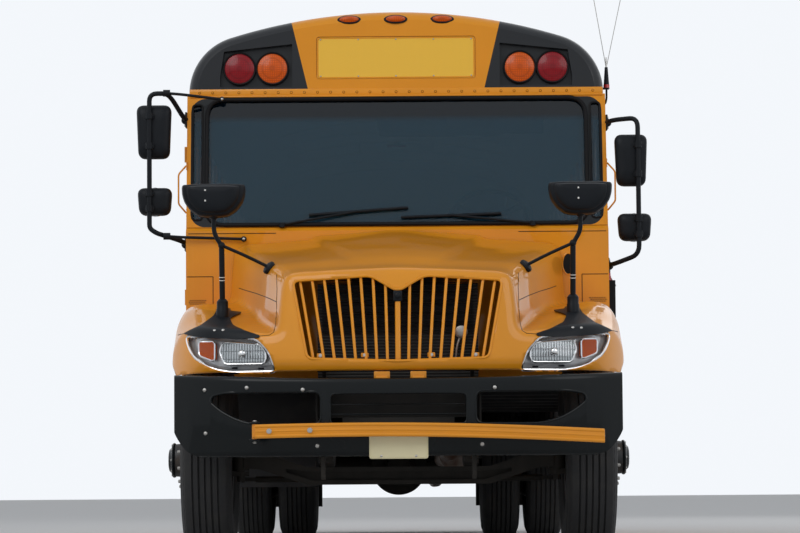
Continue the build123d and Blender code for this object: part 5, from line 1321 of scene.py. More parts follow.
def makeCrossMirrors():
    cross = {"post": 0.945, "foot": (-4.595, 1.339), "knee": (-4.660, 1.668), "tube": 0.0125,
             "head": (0.985, -4.715, 1.908), "pad": (0.690, 1.548), "bands": (0.43, 0.48)}
    headX, headY, headZ = cross["head"]
    padX, padZ = cross["pad"]
    form = bmesh.new()
    for side in (-1, 1):
        foot, knee = (Vector((side * cross["post"], *cross[label])) for label in ("foot", "knee"))
        head = Vector((side * headX, headY, headZ))
        tube(form, (foot - upward * 0.02, foot.lerp(knee, 0.5), knee, (head.x, headY + 0.035, 1.730),
                    head + Vector((0, 0.03, -0.06))), cross["tube"], 0.035, 12)
        tube(form, (foot, foot.lerp(knee, 0.95)), 0.0150, 0, 16)
        for share in cross["bands"]:   # pale bands round the post
            tube(form, (foot.lerp(knee, share), foot.lerp(knee, share + 0.012)), 0.0158, 0, 16, 3)
        bmesh.ops.create_uvsphere(form, u_segments=14, v_segments=10, radius=0.019, matrix=Matrix.Translation(knee))
        spot, normal = hoodTree.ray_cast(Vector((side * padX, -6, padZ)), backward)[:2]
        normal = normal if normal.y < 0 else -normal
        root = spot + normal * 0.016
        tube(form, (knee, knee.lerp(root, 0.5) + upward * 0.004, root), 0.009, 0.06, 10)
        lathe(form, ((-0.006, 0), (-0.006, 0.036), (0.006, 0.040), (0.016, 0.036), (0.024, 0.020), (0.026, 0)),
              spot, normal, 24)
        bolt(form, root + Vector((side * 0.012, 0, 0.006)), (side, -0.5, 0.3), 0.006)
        crossHead(form, head, side)
        dome(form, head + Vector((0, 0.03, -0.086)), -upward, 0.026, 0.016, 16, 8)
    piece = keep(form, "crossMirrorSets", "hood", "black_trim", "plastic", "mirror", "steel", "white")
    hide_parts("crossview_mirrors")


def makeBrackets():
    # the plate at each post's foot: a sheet that follows the fender's skin, flaring towards the front
    bracket = {
        "outline": ((0.980, 1.345), (0.918, 1.345), (0.914, 1.322), (0.850, 1.318), (0.906, 1.270), (0.880, 1.225),
                    (0.810, 1.186), (0.724, 1.158), (0.732, 1.146), (0.850, 1.142), (1.000, 1.152), (1.090, 1.168),
                    (1.146, 1.188), (1.052, 1.222), (0.992, 1.285)),
        "collar": ((-0.010, 0), (-0.010, 0.034), (0.045, 0.034), (0.050, 0.031), (0.085, 0.031), (0.092, 0.026),
                   (0.100, 0.019), (0.100, 0)),
        "wall": 0.006, "lift": (0, -0.0016, 0.0036), "post": 0.945, "footY": -4.595,
        "bolts": (-0.022, 0.024), "boltZ": 1.192,
    }
    form = bmesh.new()
    for side in (-1, 1):
        cutter = bmesh.new()
        prism(cutter, [(side * x, z) for x, z in softened(bracket["outline"], 0.012, 3)], "Y", -5.5, -4.2, index=1)
        patch = skinPatch(cutter, -4.3, 0.3)
        bmesh.ops.translate(patch, vec=bracket["lift"], verts=patch.verts)
        bmesh.ops.solidify(patch, geom=patch.faces[:], thickness=-bracket["wall"])
        bmesh.ops.recalc_face_normals(patch, faces=patch.faces)
        joined(form, patch)
        post = Vector((side * bracket["post"], bracket["footY"], 3))
        lathe(form, bracket["collar"], hoodTree.ray_cast(post, -upward)[0], upward, 24)
        for offset in bracket["bolts"]:
            spot = onHood(post.x + side * offset, bracket["boltZ"])
            dome(form, spot + Vector((0, -0.008, 0.006)), (0, -0.6, 0.8), 0.009, 0.005, 10, 5, 1)
    keep(form, "mirrorBrackets", "hood", "black_trim", "plastic", "steel")


def makeHandles():
    # grab handles beside the windshield, for whoever cleans it
    handles = {"x": 1.266, "low": 1.962, "high": 2.235, "y": -3.405, "tube": 0.0052, "wall": 1.215, "root": 1.224}
    y, low, high = handles["y"], handles["low"], handles["high"]
    form = bmesh.new()
    for side in (-1, 1):
        x, root, wall = (side * handles[label] for label in ("x", "root", "wall"))
        tube(form, ((wall, y + 0.02, high), (root, y + 0.018, high), (x, y, high - 0.050), (x, y, low + 0.050),
                    (root, y + 0.018, low), (wall, y + 0.02, low)), handles["tube"], 0.014, 10)
        for z in (low, high):
            slab(form, (wall, y - 0.004, z - 0.026), (wall + side * 0.006, y + 0.040, z + 0.026), 0.003, 1)
            for rise in (-0.018, 0.018):
                dome(form, (wall + side * 0.006, y + 0.018, z + rise), (side, 0, 0), 0.005, 0.003, index=1)
    keep(form, "grabHandles", "chassis", "bus_yellow", "yellow", "steel")


makeRearMirrors()
makeCrossMirrors()
makeBrackets()
makeHandles()
print("mirrors, brackets and grab handles")


# Tyres: turned ribs and grooves, with blocks at the shoulders and a moulded ring on each wall
tyre = {
    "crown": 0.521, "steps": 120, "frontX": 1.036, "rearX": 0.909, "half": 0.323 / 2,
    # place across, half width, depth
    "grooves": ((0.068, 0.0052, 0.012), (0.034, 0.0058, 0.014), (0.0, 0.0052, 0.012)),
    "wall": ((0.104, 0.286), (0.112, 0.291), (0.119, 0.303), (0.1215, 0.306), (0.1225, 0.318), (0.131, 0.345),
             (0.1345, 0.372), (0.1362, 0.376), (0.1372, 0.388), (0.1395, 0.4195), (0.1370, 0.447), (0.1335, 0.462),
             (0.1300, 0.465), (0.1265, 0.480), (0.1190, 0.497), (0.1170, 0.503), (0.1110, 0.513), (0.1050, 0.5165)),
    "blockIn": 0.104, "blockOver": 0.500, "blockDeep": 0.0065, "blockDraw": 0.985,
}
# name, side, middle of the wheel or twins, axle, body, CAD tyre
wheels = (("frontLeft", 1, tyre["frontX"], axleY, "front_left_wheel", "front_left_tyre"),
          ("frontRight", -1, tyre["frontX"], axleY, "front_right_wheel", "front_right_tyre"),
          ("rearLeft", 1, tyre["rearX"], rearAxleY, "rear_left_wheels", "rear_left_tyres"),
          ("rearRight", -1, tyre["rearX"], rearAxleY, "rear_right_wheels", "rear_right_tyres"))


def treadOutline():
    # half of the section from the bead to the middle of the tread, then its mirror image
    half = list(tyre["wall"])
    for centre, wide, deep in tyre["grooves"]:
        crown = tyre["crown"] - 0.0045 * (centre / 0.105) ** 2
        half += [(centre + wide, crown), (centre + wide * 0.6, crown - deep)]
        if centre:
            half += [(centre - wide * 0.6, crown - deep), (centre - wide, crown)]
    return half + [(-x, r) for x, r in reversed(half)]


def makeTyre(form, centre):
    outline = treadOutline()
    centre = Vector(centre)
    faces = lathe(form, outline + outline[:1], centre, (1, 0, 0), tyre["steps"])
    for vert in {vert for face in faces for vert in face.verts}:
        offset = vert.co - centre
        radius = math.hypot(offset.y, offset.z)
        turn = math.atan2(offset.z, offset.y) / (2 * math.pi) * tyre["steps"]
        if radius > tyre["blockOver"] and abs(offset.x) > tyre["blockIn"] and round(turn) % 2:
            share = (radius - tyre["blockDeep"]) / radius
            vert.co = centre + Vector((offset.x * tyre["blockDraw"], offset.y * share, offset.z * share))


def makeWheels():
    # each tyre or pair of tyres, then nuts, studs, hub caps, lock rings and valves on the discs
    fittings = {
        "ring": 0.1429, "nuts": 10, "nutRadius": 0.0165, "capBolts": 8, "valveTurn": 0.9,
        # disc, cap's reach, cap's bolt circle, lock ring, cap
        "front": (0.1365, 0.205, 0.080, 0.0,
                  ((-0.012, 0), (-0.012, 0.094), (-0.003, 0.096), (0.004, 0.092), (0.010, 0.070), (0.022, 0.058),
                   (0.026, 0.040), (0.028, 0))),
        "rear": (0.014, 0.170, 0.092, tyre["half"],
                 ((-0.060, 0), (-0.060, 0.104), (0.0, 0.100), (0.006, 0.094), (0.008, 0.060), (0.020, 0.052),
                  (0.022, 0))),
    }
    for name, side, x, y, body, node in wheels:
        end = body.split("_")[0]
        form = bmesh.new()
        for offset in (0.0,) if end == "front" else (-tyre["half"], tyre["half"]):
            makeTyre(form, (side * (x + offset), y, hubZ))
        piece = keep(form, name + "Tread", body, "tyre", "tyre", angle=25)
        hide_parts(node)
        disc, reach, circle, lock, cap = fittings[end]
        form = bmesh.new()
        out = Vector((side, 0, 0))
        axle = Vector((side * x, y, hubZ))

        def at(along, radius, angle):
            return axle + out * along + Vector((0, math.cos(angle), math.sin(angle))) * radius

        for number in range(fittings["nuts"]):
            foot = at(disc, fittings["ring"], 2 * math.pi * (number + 0.5) / fittings["nuts"])
            bolt(form, foot + out * 0.003, out, fittings["nutRadius"], 1)
            drum(form, foot, foot + out * 0.034, 0.0095, None, 10, 1)
            dome(form, foot + out * 0.034, out, 0.0095, 0.004, 10, 4, 1)
        lathe(form, cap, axle + out * reach, out, 32, 2)
        for number in range(fittings["capBolts"]):
            bolt(form, at(reach + 0.004, circle, 2 * math.pi * number / fittings["capBolts"]), out, 0.0075, 1)
        tube(form, [at(lock + 0.110, 0.2835, 2 * math.pi * step / 64) for step in range(64)], 0.0060, loop=True)
        valve = [at(lock + along, radius, fittings["valveTurn"])
                 for along, radius in ((0.045, 0.262), (0.090, 0.245), (0.128, 0.236))]
        tube(form, valve, 0.0045, 0.02, 8, 1)
        keep(form, name + "Fittings", body, "rim_steel", "rim", "steel", "gloss black")


makeWheels()
print("tyres and wheel fittings")


# Body sides: window sashes, rails of rivets, panel seams painted as dark lines of shade and doors in the skirt
sides = {
    "out": 1.219, "first": -2.465, "pitch": 0.690, "windows": 11, "half": 0.300, "low": 1.861, "high": 2.469,
    "railZ": (1.000, 1.430, 1.790), "start": -2.44, "tail": 5.130, "archHalf": 0.62,
}


def stations(start, end, step):
    # evenly spaced places from start to before end
    while start < end:
        yield start
        start += step


def makeSashes():
    # an aluminium frame in each window with a lower fixed pane and an upper one that drops
    sash = {"radius": 0.011, "bend": 0.045, "bar": 0.014, "x": 1.204, "driverY": -2.875}
    half, low, high = sides["half"], sides["low"], sides["high"]
    middle = (low + high) / 2 + 0.01
    form = bmesh.new()
    for side, number in product((-1, 1), range(sides["windows"])):
        x, y = side * sash["x"], sides["first"] + (number + 0.5) * sides["pitch"]
        inner = x - side * 0.006
        hoop(form, pane(y - half, low, y + half, high, sash["bend"], 3), "X", x, sash["radius"], 6)
        slabAt(form, (x, y, middle), (0.009, half, sash["bar"]), 0.004, 1)
        slabAt(form, (inner, y, middle + 0.030), (0.006, half, 0.010), 0.003, 1)
        for along in (-1, 1):
            latch = (x - side * 0.016, y + along * (half - 0.055), middle + 0.030)
            slabAt(form, latch, (0.005, 0.020, 0.007), 0.002, 1, 1)
    keep(form, "windowSashes", "chassis", "window_glass", "aluminium", "plastic")
    form = bmesh.new()   # the driver's window and its upright bar
    x, y, half, low, high = sash["x"], sash["driverY"], 0.318, 1.86, 2.47
    hoop(form, pane(y - half, low, y + half, high, sash["bend"], 4), "X", x, 0.012)
    slab(form, (x - 0.010, y - 0.012, low), (x + 0.010, y + 0.012, high), 0.004, 1)
    slab(form, (x - 0.024, y + 0.04, 2.12), (x - 0.010, y + 0.08, 2.20), 0.004, 1, 1)
    keep(form, "driverSash", "chassis", "window_glass", "aluminium", "plastic")


def makeRivets():
    rivet = {"radius": 0.0062, "height": 0.0032, "pitch": 0.115, "skirt": 0.52, "overArch": 1.16, "belt": 1.80,
             "posts": (2.53, 2.575, 2.62), "sills": (1.845, 2.505), "edge": 0.505, "railHalf": 0.034}
    form = bmesh.new()
    for side in (-1, 1):
        way = (side, 0, 0)
        out = side * sides["out"]

        def head(y, z):
            bmesh.ops.create_cone(form, cap_ends=True, segments=6, radius1=rivet["radius"],
                                  radius2=rivet["radius"] * 0.45, depth=rivet["height"],
                                  matrix=facing(way, (out, y, z)))

        for number in range(sides["windows"] + 1):   # a column of rivets and a panel seam at each window post; the seam is a thin strip painted dark as the shade in the joint
            y = sides["first"] + number * sides["pitch"]
            low = rivet["overArch"] if abs(y - rearAxleY) < sides["archHalf"] else rivet["skirt"]
            for z in stations(low, rivet["belt"], rivet["pitch"]):
                if all(abs(z - rail) > 0.062 for rail in sides["railZ"]):
                    head(y + 0.014, z)
            slab(form, (out, y - 0.0012, low - 0.03), (out + side * 0.0012, y + 0.0012, rivet["belt"]), index=1)
            for z in rivet["posts"]:
                head(y + 0.01, z)
        for z in rivet["sills"]:
            for y in stations(sides["start"], sides["tail"], rivet["pitch"] * 0.75):
                head(y, z)
        for rail in sides["railZ"]:
            for y in stations(-2.40 if side < 0 else -3.10, sides["tail"], rivet["pitch"] * 1.5):
                if rail > 1.1 or abs(y - rearAxleY) > 0.60:
                    for rise in (-rivet["railHalf"], rivet["railHalf"]):
                        dome(form, (out + side * 0.014, y, rail + rise), way, 0.006, 0.003, 6, 4, 2)
        for y in stations(sides["start"], sides["tail"], rivet["pitch"] * 1.5):   # along the skirt's lower edge
            if abs(y - rearAxleY) > sides["archHalf"]:
                head(y, rivet["edge"])
    keep(form, "sideRivets", "chassis", "bus_yellow", "yellow", "painted shade", "gloss black")


reflector = ((0.0, 0), (0.0, 0.040), (0.006, 0.040), (0.009, 0.034), (0.010, 0))


def makeSideTrim():
    trim = {
        "gutterZ": 2.642, "front": -2.86, "rear": 5.12, "arch": 0.578, "archFoot": 0.486, "lip": 0.009,
        # fuel, battery and fuse doors: side, y0, y1, z0, z1, places of the latches in from the ends
        "doors": ((-1, -1.42, -1.14, 0.66, 0.90, (0.14,)), (1, -2.10, -1.32, 0.545, 0.925, (0.14, 0.64)),
                  (1, -0.98, -0.62, 0.545, 0.925, (0.14, 0.22))),
        "reflectors": ((-2.35, 0), (1.05, 0), (4.98, 1)), "reflectorZ": 0.72, "signal": (-1.00, 1.43),
    }
    form = bmesh.new()
    for side in (-1, 1):   # a rain gutter, and a rolled lip round the rear wheel arch
        out = side * sides["out"]
        edge = out + side * 0.004
        tube(form, ((edge, trim["front"], trim["gutterZ"]), (edge, trim["rear"], trim["gutterZ"])), trim["lip"])
        slab(form, (out, trim["front"], 2.630), (out + side * 0.016, trim["rear"], 2.636), 0.002, 1)
        arch = [(edge, rearAxleY + trim["arch"] * math.cos(angle), hubZ + trim["arch"] * math.sin(angle))
                for angle in (math.pi * step / 40 for step in range(41))]
        feet = [(edge, rearAxleY + way * trim["arch"], trim["archFoot"]) for way in (1, -1)]
        tube(form, feet[:1] + arch + feet[1:], trim["lip"])
    keep(form, "sideTrim", "chassis", "bus_yellow", "yellow")
    form = bmesh.new()
    for side, y0, y1, z0, z1, latches in trim["doors"]:
        out = side * sides["out"]
        prism(form, pane(y0, z0, y1, z1, 0.02, 4), "X", out, out + side * 0.004, 0.0015, 1)
        hoop(form, pane(y0 - 0.004, z0 - 0.004, y1 + 0.004, z1 + 0.004, 0.022, 4), "X", out + side * 0.002, 0.003, 6, 1)
        hinge = Vector((out + side * 0.008, y0 + 0.03, z1 + 0.002))
        drum(form, hinge, (hinge.x, y1 - 0.03, hinge.z), 0.006, None, 10)
        for y in (y0 + along for along in latches):
            drum(form, (out + side * 0.004, y, z0 + 0.05), (out + side * 0.012, y, z0 + 0.05), 0.022, 0.020, 20, 2)
            slabAt(form, (out + side * 0.014, y, z0 + 0.050), (0.004, 0.014, 0.004), 0.002, 1, 3)
    keep(form, "skirtDoors", "chassis", "bus_yellow", "yellow", "gasket", "steel", "plastic")
    form = bmesh.new()
    signalY, signalZ = trim["signal"]
    for side in (-1, 1):   # reflectors and side turn lamps
        out = side * sides["out"]
        for y, index in trim["reflectors"]:
            lathe(form, reflector, (out, y, trim["reflectorZ"]), (side, 0, 0), 24, index)
        x = out + side * 0.014
        ball(form, Matrix.Translation((x, signalY, signalZ)) @ Matrix.Diagonal((0.026, 0.105, 0.036, 1)), 20, 10)
        hoop(form, [(signalY + a, signalZ + b) for a, b in oval(0.110, 0.040, 28)], "X", x, 0.005, 6, 2)
    keep(form, "sideLamps", "chassis", "sign_red", "amber lens", "red lens", "gasket")


# Roof: lapped bow seams with rivets, laid on the roof's own surface, and the hatches' fittings
roof = {"heartZ": 2.30, "spread": 1.75, "slope": 1.2, "steps": 44, "stripHalf": 0.022, "thick": 0.0022, "first": -2.40,
        "hatches": (("front", -1.43), ("rear", 3.40)), "hatchHalf": 0.36}


def onRoof(x, y, out=0.0):
    # the place on the roof's skin that lies on a ray from the cabin's middle line, and its way out
    heart = Vector((0, y, roof["heartZ"]))
    ray = Vector((x, 0, roof["slope"]))
    place, way = roofTree.ray_cast(heart + ray * 4, -ray)[:2]
    if not place:
        return None, None
    way = way if way.dot(place - heart) > 0 else -way
    return place + way * out, way


def makeRoofSeams():
    form = bmesh.new()
    for number in range(sides["windows"] + 1):
        y = max(sides["first"] + number * sides["pitch"], roof["first"])
        rows = []
        for step in range(roof["steps"] + 1):
            low, way = onRoof(roof["spread"] * (2 * step / roof["steps"] - 1), y, 0.0008)
            if low is None:
                continue
            if abs(low.x) < roof["hatchHalf"] and any(abs(y - hatch[1]) < roof["hatchHalf"]
                                                      for hatch in roof["hatches"]):
                rows.append(None)
                continue
            rows.append([form.verts.new(low + way * roof["thick"] * out + backward * roof["stripHalf"] * back)
                         for back, out in ((-1, 0), (-1, 1), (1, 1), (1, 0))])
            if step % 2 == 0:
                for back in (-0.012, 0.012):
                    bmesh.ops.create_cone(form, cap_ends=True, segments=6, radius1=0.006, radius2=0.003, depth=0.003,
                                          matrix=facing(way, low + way * 0.003 + Vector((0, back, 0))))
        for first, second in zip(rows, rows[1:]):
            if first and second:
                for a in range(4):
                    b = (a + 1) % 4
                    form.faces.new((first[a], first[b], second[b], second[a]))
        for place, row in enumerate(rows):   # closed where a run starts or stops
            if row and (place == 0 or rows[place - 1] is None or place == len(rows) - 1 or rows[place + 1] is None):
                form.faces.new(row)
    bmesh.ops.recalc_face_normals(form, faces=form.faces)
    keep(form, "roofSeams", "chassis", "bus_yellow", "yellow")


def makeHatchFittings():
    seal = 0.335 * 1.045
    for name, y in roof["hatches"]:
        body = name + "_roof_hatch"
        low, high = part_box(body)
        form = bmesh.new()
        for x in (-0.18, 0.0, 0.18):   # pressed ribs on the lid
            slab(form, (x - 0.03, low.y + 0.09, high.z - 0.004), (x + 0.03, high.y - 0.09, high.z + 0.007), 0.006)
        drum(form, (0, y, low.z - 0.004), (0, y, low.z - 0.050), 0.028, 0.024, 20, 1)
        slab(form, (-0.075, y - 0.012, low.z - 0.066), (0.075, y + 0.012, low.z - 0.046), 0.006, 2, 2)
        for x, along in product((-0.22, 0.22), (low.y + 0.05, high.y - 0.05)):
            bolt(form, (x, along, high.z - 0.001), upward, 0.007, 1)
        keep(form, name + "HatchFittings", body, "hatch_white", "white", "steel", "stop red")
        form = bmesh.new()
        route = []
        for x, along in pane(-seal, y - seal, seal, y + seal, 0.05 * 1.045, 4):
            hit = roofTree.ray_cast(Vector((x, along, 4)), -upward)[0]
            route.append((x, along, (hit.z if hit else 3.14) + 0.002))
        tube(form, route, 0.006, 0, 6, loop=True)
        keep(form, name + "HatchSeal", "chassis", "black_trim", "gasket")


makeSashes()
makeRivets()
makeSideTrim()
makeRoofSeams()
makeHatchFittings()
print("sides and roof")


# Rear: lamps, window rubbers, the emergency door's handle and hinges, rear bumper bolts
def roundLamp(form, place, way, radius, lens, ring=0):
    lathe(form, ((-0.010, 0), (-0.010, radius + 0.012), (0.004, radius + 0.014), (0.012, radius + 0.006),
                 (0.010, radius), (0.010, 0)), place, way, 32, ring)
    lathe(form, ((0.006, 0), (0.006, radius), (0.016, radius * 0.94), (0.022, radius * 0.7), (0.025, radius * 0.35),
                 (0.026, 0)), place, way, 32, lens)


def makeRear():
    rear = {
        # x, z, radius, lens
        "lamps": ((0.945, 1.305, 0.089, 1), (0.705, 1.305, 0.089, 2), (0.945, 1.085, 0.055, 1),
                  (0.800, 1.085, 0.055, 3)),
        "windowX": 0.8395, "windowHalf": 0.239,
        # rub rails carried round the back: z, inner end
        "rails": ((1.00, 0.56), (1.43, 1.05)),
        "doorWindows": ((1.19, 1.62), (1.855, 2.415)), "hinges": (1.228, 1.770, 2.232), "handleZ": (1.600, 1.770),
        "doorY": 5.190, "rivets": 13, "sideRivets": 12,
    }
    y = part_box("rear_wall")[1].y
    form = bmesh.new()
    for side in (-1, 1):
        for x, z, radius, lens in rear["lamps"]:
            roundLamp(form, (side * x, y, z), backward, radius, lens)
        lathe(form, reflector, (side * 1.06, y, 0.86), backward, 24, 1)
    keep(form, "tailLamps", "chassis", "sign_red", "gasket", "red lens", "amber lens", "stop white")
    form = bmesh.new()
    for side in (-1, 1):   # rubbers round the fixed rear windows
        x, half = side * rear["windowX"], rear["windowHalf"]
        hoop(form, pane(x - half, 1.845, x + half, 2.42, 0.06, 4), "Y", y + 0.001, 0.010)
    for (z, inner), side in product(rear["rails"], (-1, 1)):
        slab(form, (side * inner, y - 0.004, z - 0.047), (side * 1.19, y + 0.014, z + 0.047), 0.006, 2, 1)
    slab(form, (-0.35, y - 0.002, 0.90), (0.35, y + 0.016, 0.96), 0.006, 2, 1)
    prism(form, pane(-0.16, 0.80, 0.16, 0.885, 0.01), "Y", y, y + 0.010, 0.002, 1, 1)
    keep(form, "rearTrim", "chassis", "black_trim", "gasket", "gloss black")
    form = bmesh.new()
    doorY = rear["doorY"]
    for z0, z1 in rear["doorWindows"]:
        hoop(form, pane(-0.364, z0 - 0.004, 0.364, z1 + 0.004, 0.05, 4), "Y", doorY + 0.001, 0.010)
    hoop(form, pane(-0.446, 1.075, 0.446, 2.466, 0.04, 4), "Y", doorY, 0.007)
    for z in rear["hinges"]:
        slab(form, (-0.430, doorY - 0.002, z - 0.030), (-0.330, doorY + 0.008, z + 0.030), 0.004, 2, 1)
        for x in (-0.405, -0.355):
            bolt(form, (x, doorY + 0.007, z), backward, 0.007, 2)
    slab(form, (0.330, doorY - 0.002, 1.585), (0.394, doorY + 0.006, 1.785), 0.006, 2, 2)
    for z in rear["handleZ"]:
        bolt(form, (0.362, doorY + 0.005, z), backward, 0.006, 2)
    for x, z in product((-0.40, 0.40), (1.130, 1.68, 1.76)):
        dome(form, (x, doorY, z), backward, 0.006, 0.003, index=1)
    keep(form, "rearDoorTrim", "rear_door", "bus_yellow", "gasket", "yellow", "steel")
    form = bmesh.new()
    low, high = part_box("rear_bumper")
    for x, z in product((-0.95, -0.42, 0.42, 0.95), (0.60, 0.68)):
        bolt(form, (x, high.y - 0.001, z), backward, 0.013)
    for z in (0.575, 0.705):
        slabAt(form, (0, high.y, z), (1.12, 0.004, 0.006), 0.003, 1, 1)
    for x in (-0.30, -0.15, 0.0, 0.15, 0.30):
        slab(form, (x - 0.055, low.y + 0.02, high.z - 0.001), (x + 0.055, high.y - 0.02, high.z + 0.004), 0.002, 1, 1)
    keep(form, "rearBumperFittings", "chassis", "black_trim", "steel", "gloss black")
    form = bmesh.new()
    count = rear["rivets"]
    heads = [(1.10 * (2 * number / (count - 1) - 1), z) for number in range(count) for z in (1.79, 2.50)]
    for side, number in product((-1, 1), range(rear["sideRivets"])):
        heads += [(side * 1.145, 0.82 + number * 0.145), (side * 0.50, 1.02 + number * 0.125)]
    for x, z in heads:
        dome(form, (x, y, z), backward, 0.0062, 0.003, 6)
    keep(form, "rearRivets", "chassis", "bus_yellow", "yellow")


# Entrance door, stop arm and antenna
def makeDoorTrim():
    door = {"x": -1.220, "inside": -1.178, "edgeX": -1.204, "panes": ((0.527, 1.180), (1.290, 2.382)), "in": 0.046,
            "leaves": (("front", -3.244, -2.882), ("rear", -2.868, -2.506)), "handleZ": 1.235}
    for name, y0, y1 in door["leaves"]:
        form = bmesh.new()
        for z0, z1 in door["panes"]:
            hoop(form, pane(y0 + door["in"], z0, y1 - door["in"], z1, 0.035, 4), "X", door["x"], 0.009)
        edge = y1 + 0.001 if name == "front" else y0 - 0.001
        tube(form, ((door["edgeX"], edge, 0.41), (door["edgeX"], edge, 2.46)), 0.006)
        inside, middle = door["inside"], (y0 + y1) / 2
        grip = ((inside, -0.10), (inside + 0.035, -0.09), (inside + 0.035, 0.09), (inside, 0.10))
        tube(form, [(x, middle + along, door["handleZ"]) for x, along in grip], 0.009, 0.02, 8, 1)
        keep(form, name + "LeafTrim", "entrance_" + name + "_leaf", "black_trim", "gasket", "steel")
    form = bmesh.new()
    for route in (((-1.150, -2.47, 1.20), (-1.06, -2.462, 1.20), (-1.06, -2.462, 1.98), (-1.150, -2.47, 1.98)),
                  ((-1.150, -3.30, 0.95), (-1.08, -3.27, 0.95), (-1.02, -3.27, 1.60), (-1.02, -3.32, 1.62))):
        tube(form, route, 0.013, 0.06, 12)
    keep(form, "stepRails", "chassis", "seat_steel", "steel")


def makeStopArm():
    # red sheet with a white border and a lamp in its upper and lower half on each face
    arm = {"y": -2.9065, "z": 1.430, "reach": 0.457 / 2, "faces": ((-1, 1.2488), (1, 1.2572)), "border": 0.0012,
           "lampZ": 0.125}
    y, z = arm["y"], arm["z"]
    form = bmesh.new()

    def octagon(reach):
        corner = reach / math.cos(math.pi / 8)
        turns = [math.pi / 8 + math.pi / 4 * number for number in range(8)]
        return [(y + corner * math.cos(turn), z + corner * math.sin(turn)) for turn in turns]

    outer, inner = octagon(arm["reach"] - 0.003), octagon(arm["reach"] - 0.021)
    for way, face in arm["faces"]:
        for a in range(8):
            b = (a + 1) % 8
            prism(form, (outer[a], outer[b], inner[b], inner[a]), "X", face, face + way * arm["border"])
        for rise in (-arm["lampZ"], arm["lampZ"]):
            roundLamp(form, (face, y, z + rise), (way, 0, 0), 0.048, 1, 2)
    for along, rise in product((-0.19, -0.155), (-0.05, 0.05)):
        bolt(form, (1.258, y + along, z + rise), (1, 0, 0), 0.007, 3)
    keep(form, "stopArmFace", "stop_arm", "sign_red", "stop white", "red lens", "gasket", "steel")
    form = bmesh.new()
    low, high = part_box("stop_arm_housing")
    for z, along in product((low.z + 0.03, high.z - 0.03), (low.y + 0.014, high.y - 0.014)):
        bolt(form, (high.x - 0.001, along, z), (1, 0, 0), 0.006)
    keep(form, "stopHousingBolts", "chassis", "black_trim", "steel")


def makeAntenna():
    # a bent bracket, a spring in a cone, and two thin whips
    antenna = {
        "x": 1.239, "y": -3.166, "tips": (1.139, 1.369), "tipZ": 3.416,
        # foot, head, foot radius, head radius, sides, finish
        "drums": ((2.703, 2.722, 0.018, None, 20, 1), (2.722, 2.826, 0.0165, 0.009, 20, 0),
                  (2.826, 2.885, 0.005, 0.003, 12, 2)),
    }
    x, y = antenna["x"], antenna["y"]
    form = bmesh.new()
    tube(form, ((1.219, y, 2.606), (1.232, y, 2.612), (x, y, 2.64), (x, y, 2.70)), 0.006, 0.02)
    slab(form, (1.205, y - 0.02, 2.695), (1.256, y + 0.02, 2.703), 0.003, 1)
    for foot, head, *shape in antenna["drums"]:
        drum(form, (x, y, foot), (x, y, head), *shape)
    for tipX in antenna["tips"]:
        tube(form, ((x, y, 2.82), (x + (tipX - x) * 0.3, y, 3.0), (tipX, y, antenna["tipZ"])), 0.0022, 0.05, 6, 2)
    piece = keep(form, "antennaWhips", "chassis", "black_trim", "plastic", "stop red", "steel")
    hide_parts("antenna")


makeRear()
makeDoorTrim()
makeStopArm()
makeAntenna()
print("rear, doors, stop arm and antenna")


# Seats: one cushion and one back are swelled as cloth, seamed, then set out in rows on both sides
bench = {
    "half": 0.480, "outer": 1.162, "firstY": -1.935, "rows": 11, "voxel": 0.021, "cap": 0.011,
    "seamIn": 0.065, "seam": 0.0032,
}
cloth = {"frames": 16, "pressure": 4.0, "quality": 4}


def puffed(form, name, voxel, cap):
    # a pad that starts a little small and swells under pressure, each point by no more than cap
    form = changed(scratch(form, name), "REMESH", mode="VOXEL", voxel_size=voxel)
    eased(form, 1)
    piece = scratch(form.copy(), name)
    settings = piece.modifiers.new("cloth", "CLOTH").settings
    settings.quality = cloth["quality"]
    settings.use_pressure = True
    settings.uniform_pressure_force = cloth["pressure"]
    settings.effector_weights.gravity = 0
    for number in range(1, cloth["frames"] + 1):
        scene.frame_set(number)
    swollen = settled(piece)
    scene.frame_set(1)
    for vert, last in zip(form.verts, swollen.verts):
        shift = last.co - vert.co
        vert.co += shift * min(1.0, cap / max(shift.length, 1e-6))
    swollen.free()
    eased(form, 2)
    return form


def leaned(form, low, high, slope):
    # leans a pad back as it rises from low to high
    for vert in form.verts:
        vert.co.y += slope * (vert.co.z - low) / (high - low)


def seamRing(form, tree, radius, middle):
    # piping that runs round a pad in the upright plane through its middle or beside it
    route = []
    for y, z in oval(1.0, 1.0, 40):
        way = Vector((0, y, z))
        hit = tree.ray_cast(Vector(middle) + way * 1.2, -way)[0]
        if hit and (not route or (hit - route[-1]).length > 0.004):
            route.append(hit + way * 0.0005)
    tube(form, route, radius, 0, 5, loop=True)


def keepPad(pads, piping, name, node):
    piece = keep(pads, name, "chassis", "seat_vinyl", "vinyl", angle=60)
    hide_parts(node)
    keep(piping, name + "Piping", "chassis", "seat_vinyl", "piping", angle=60)


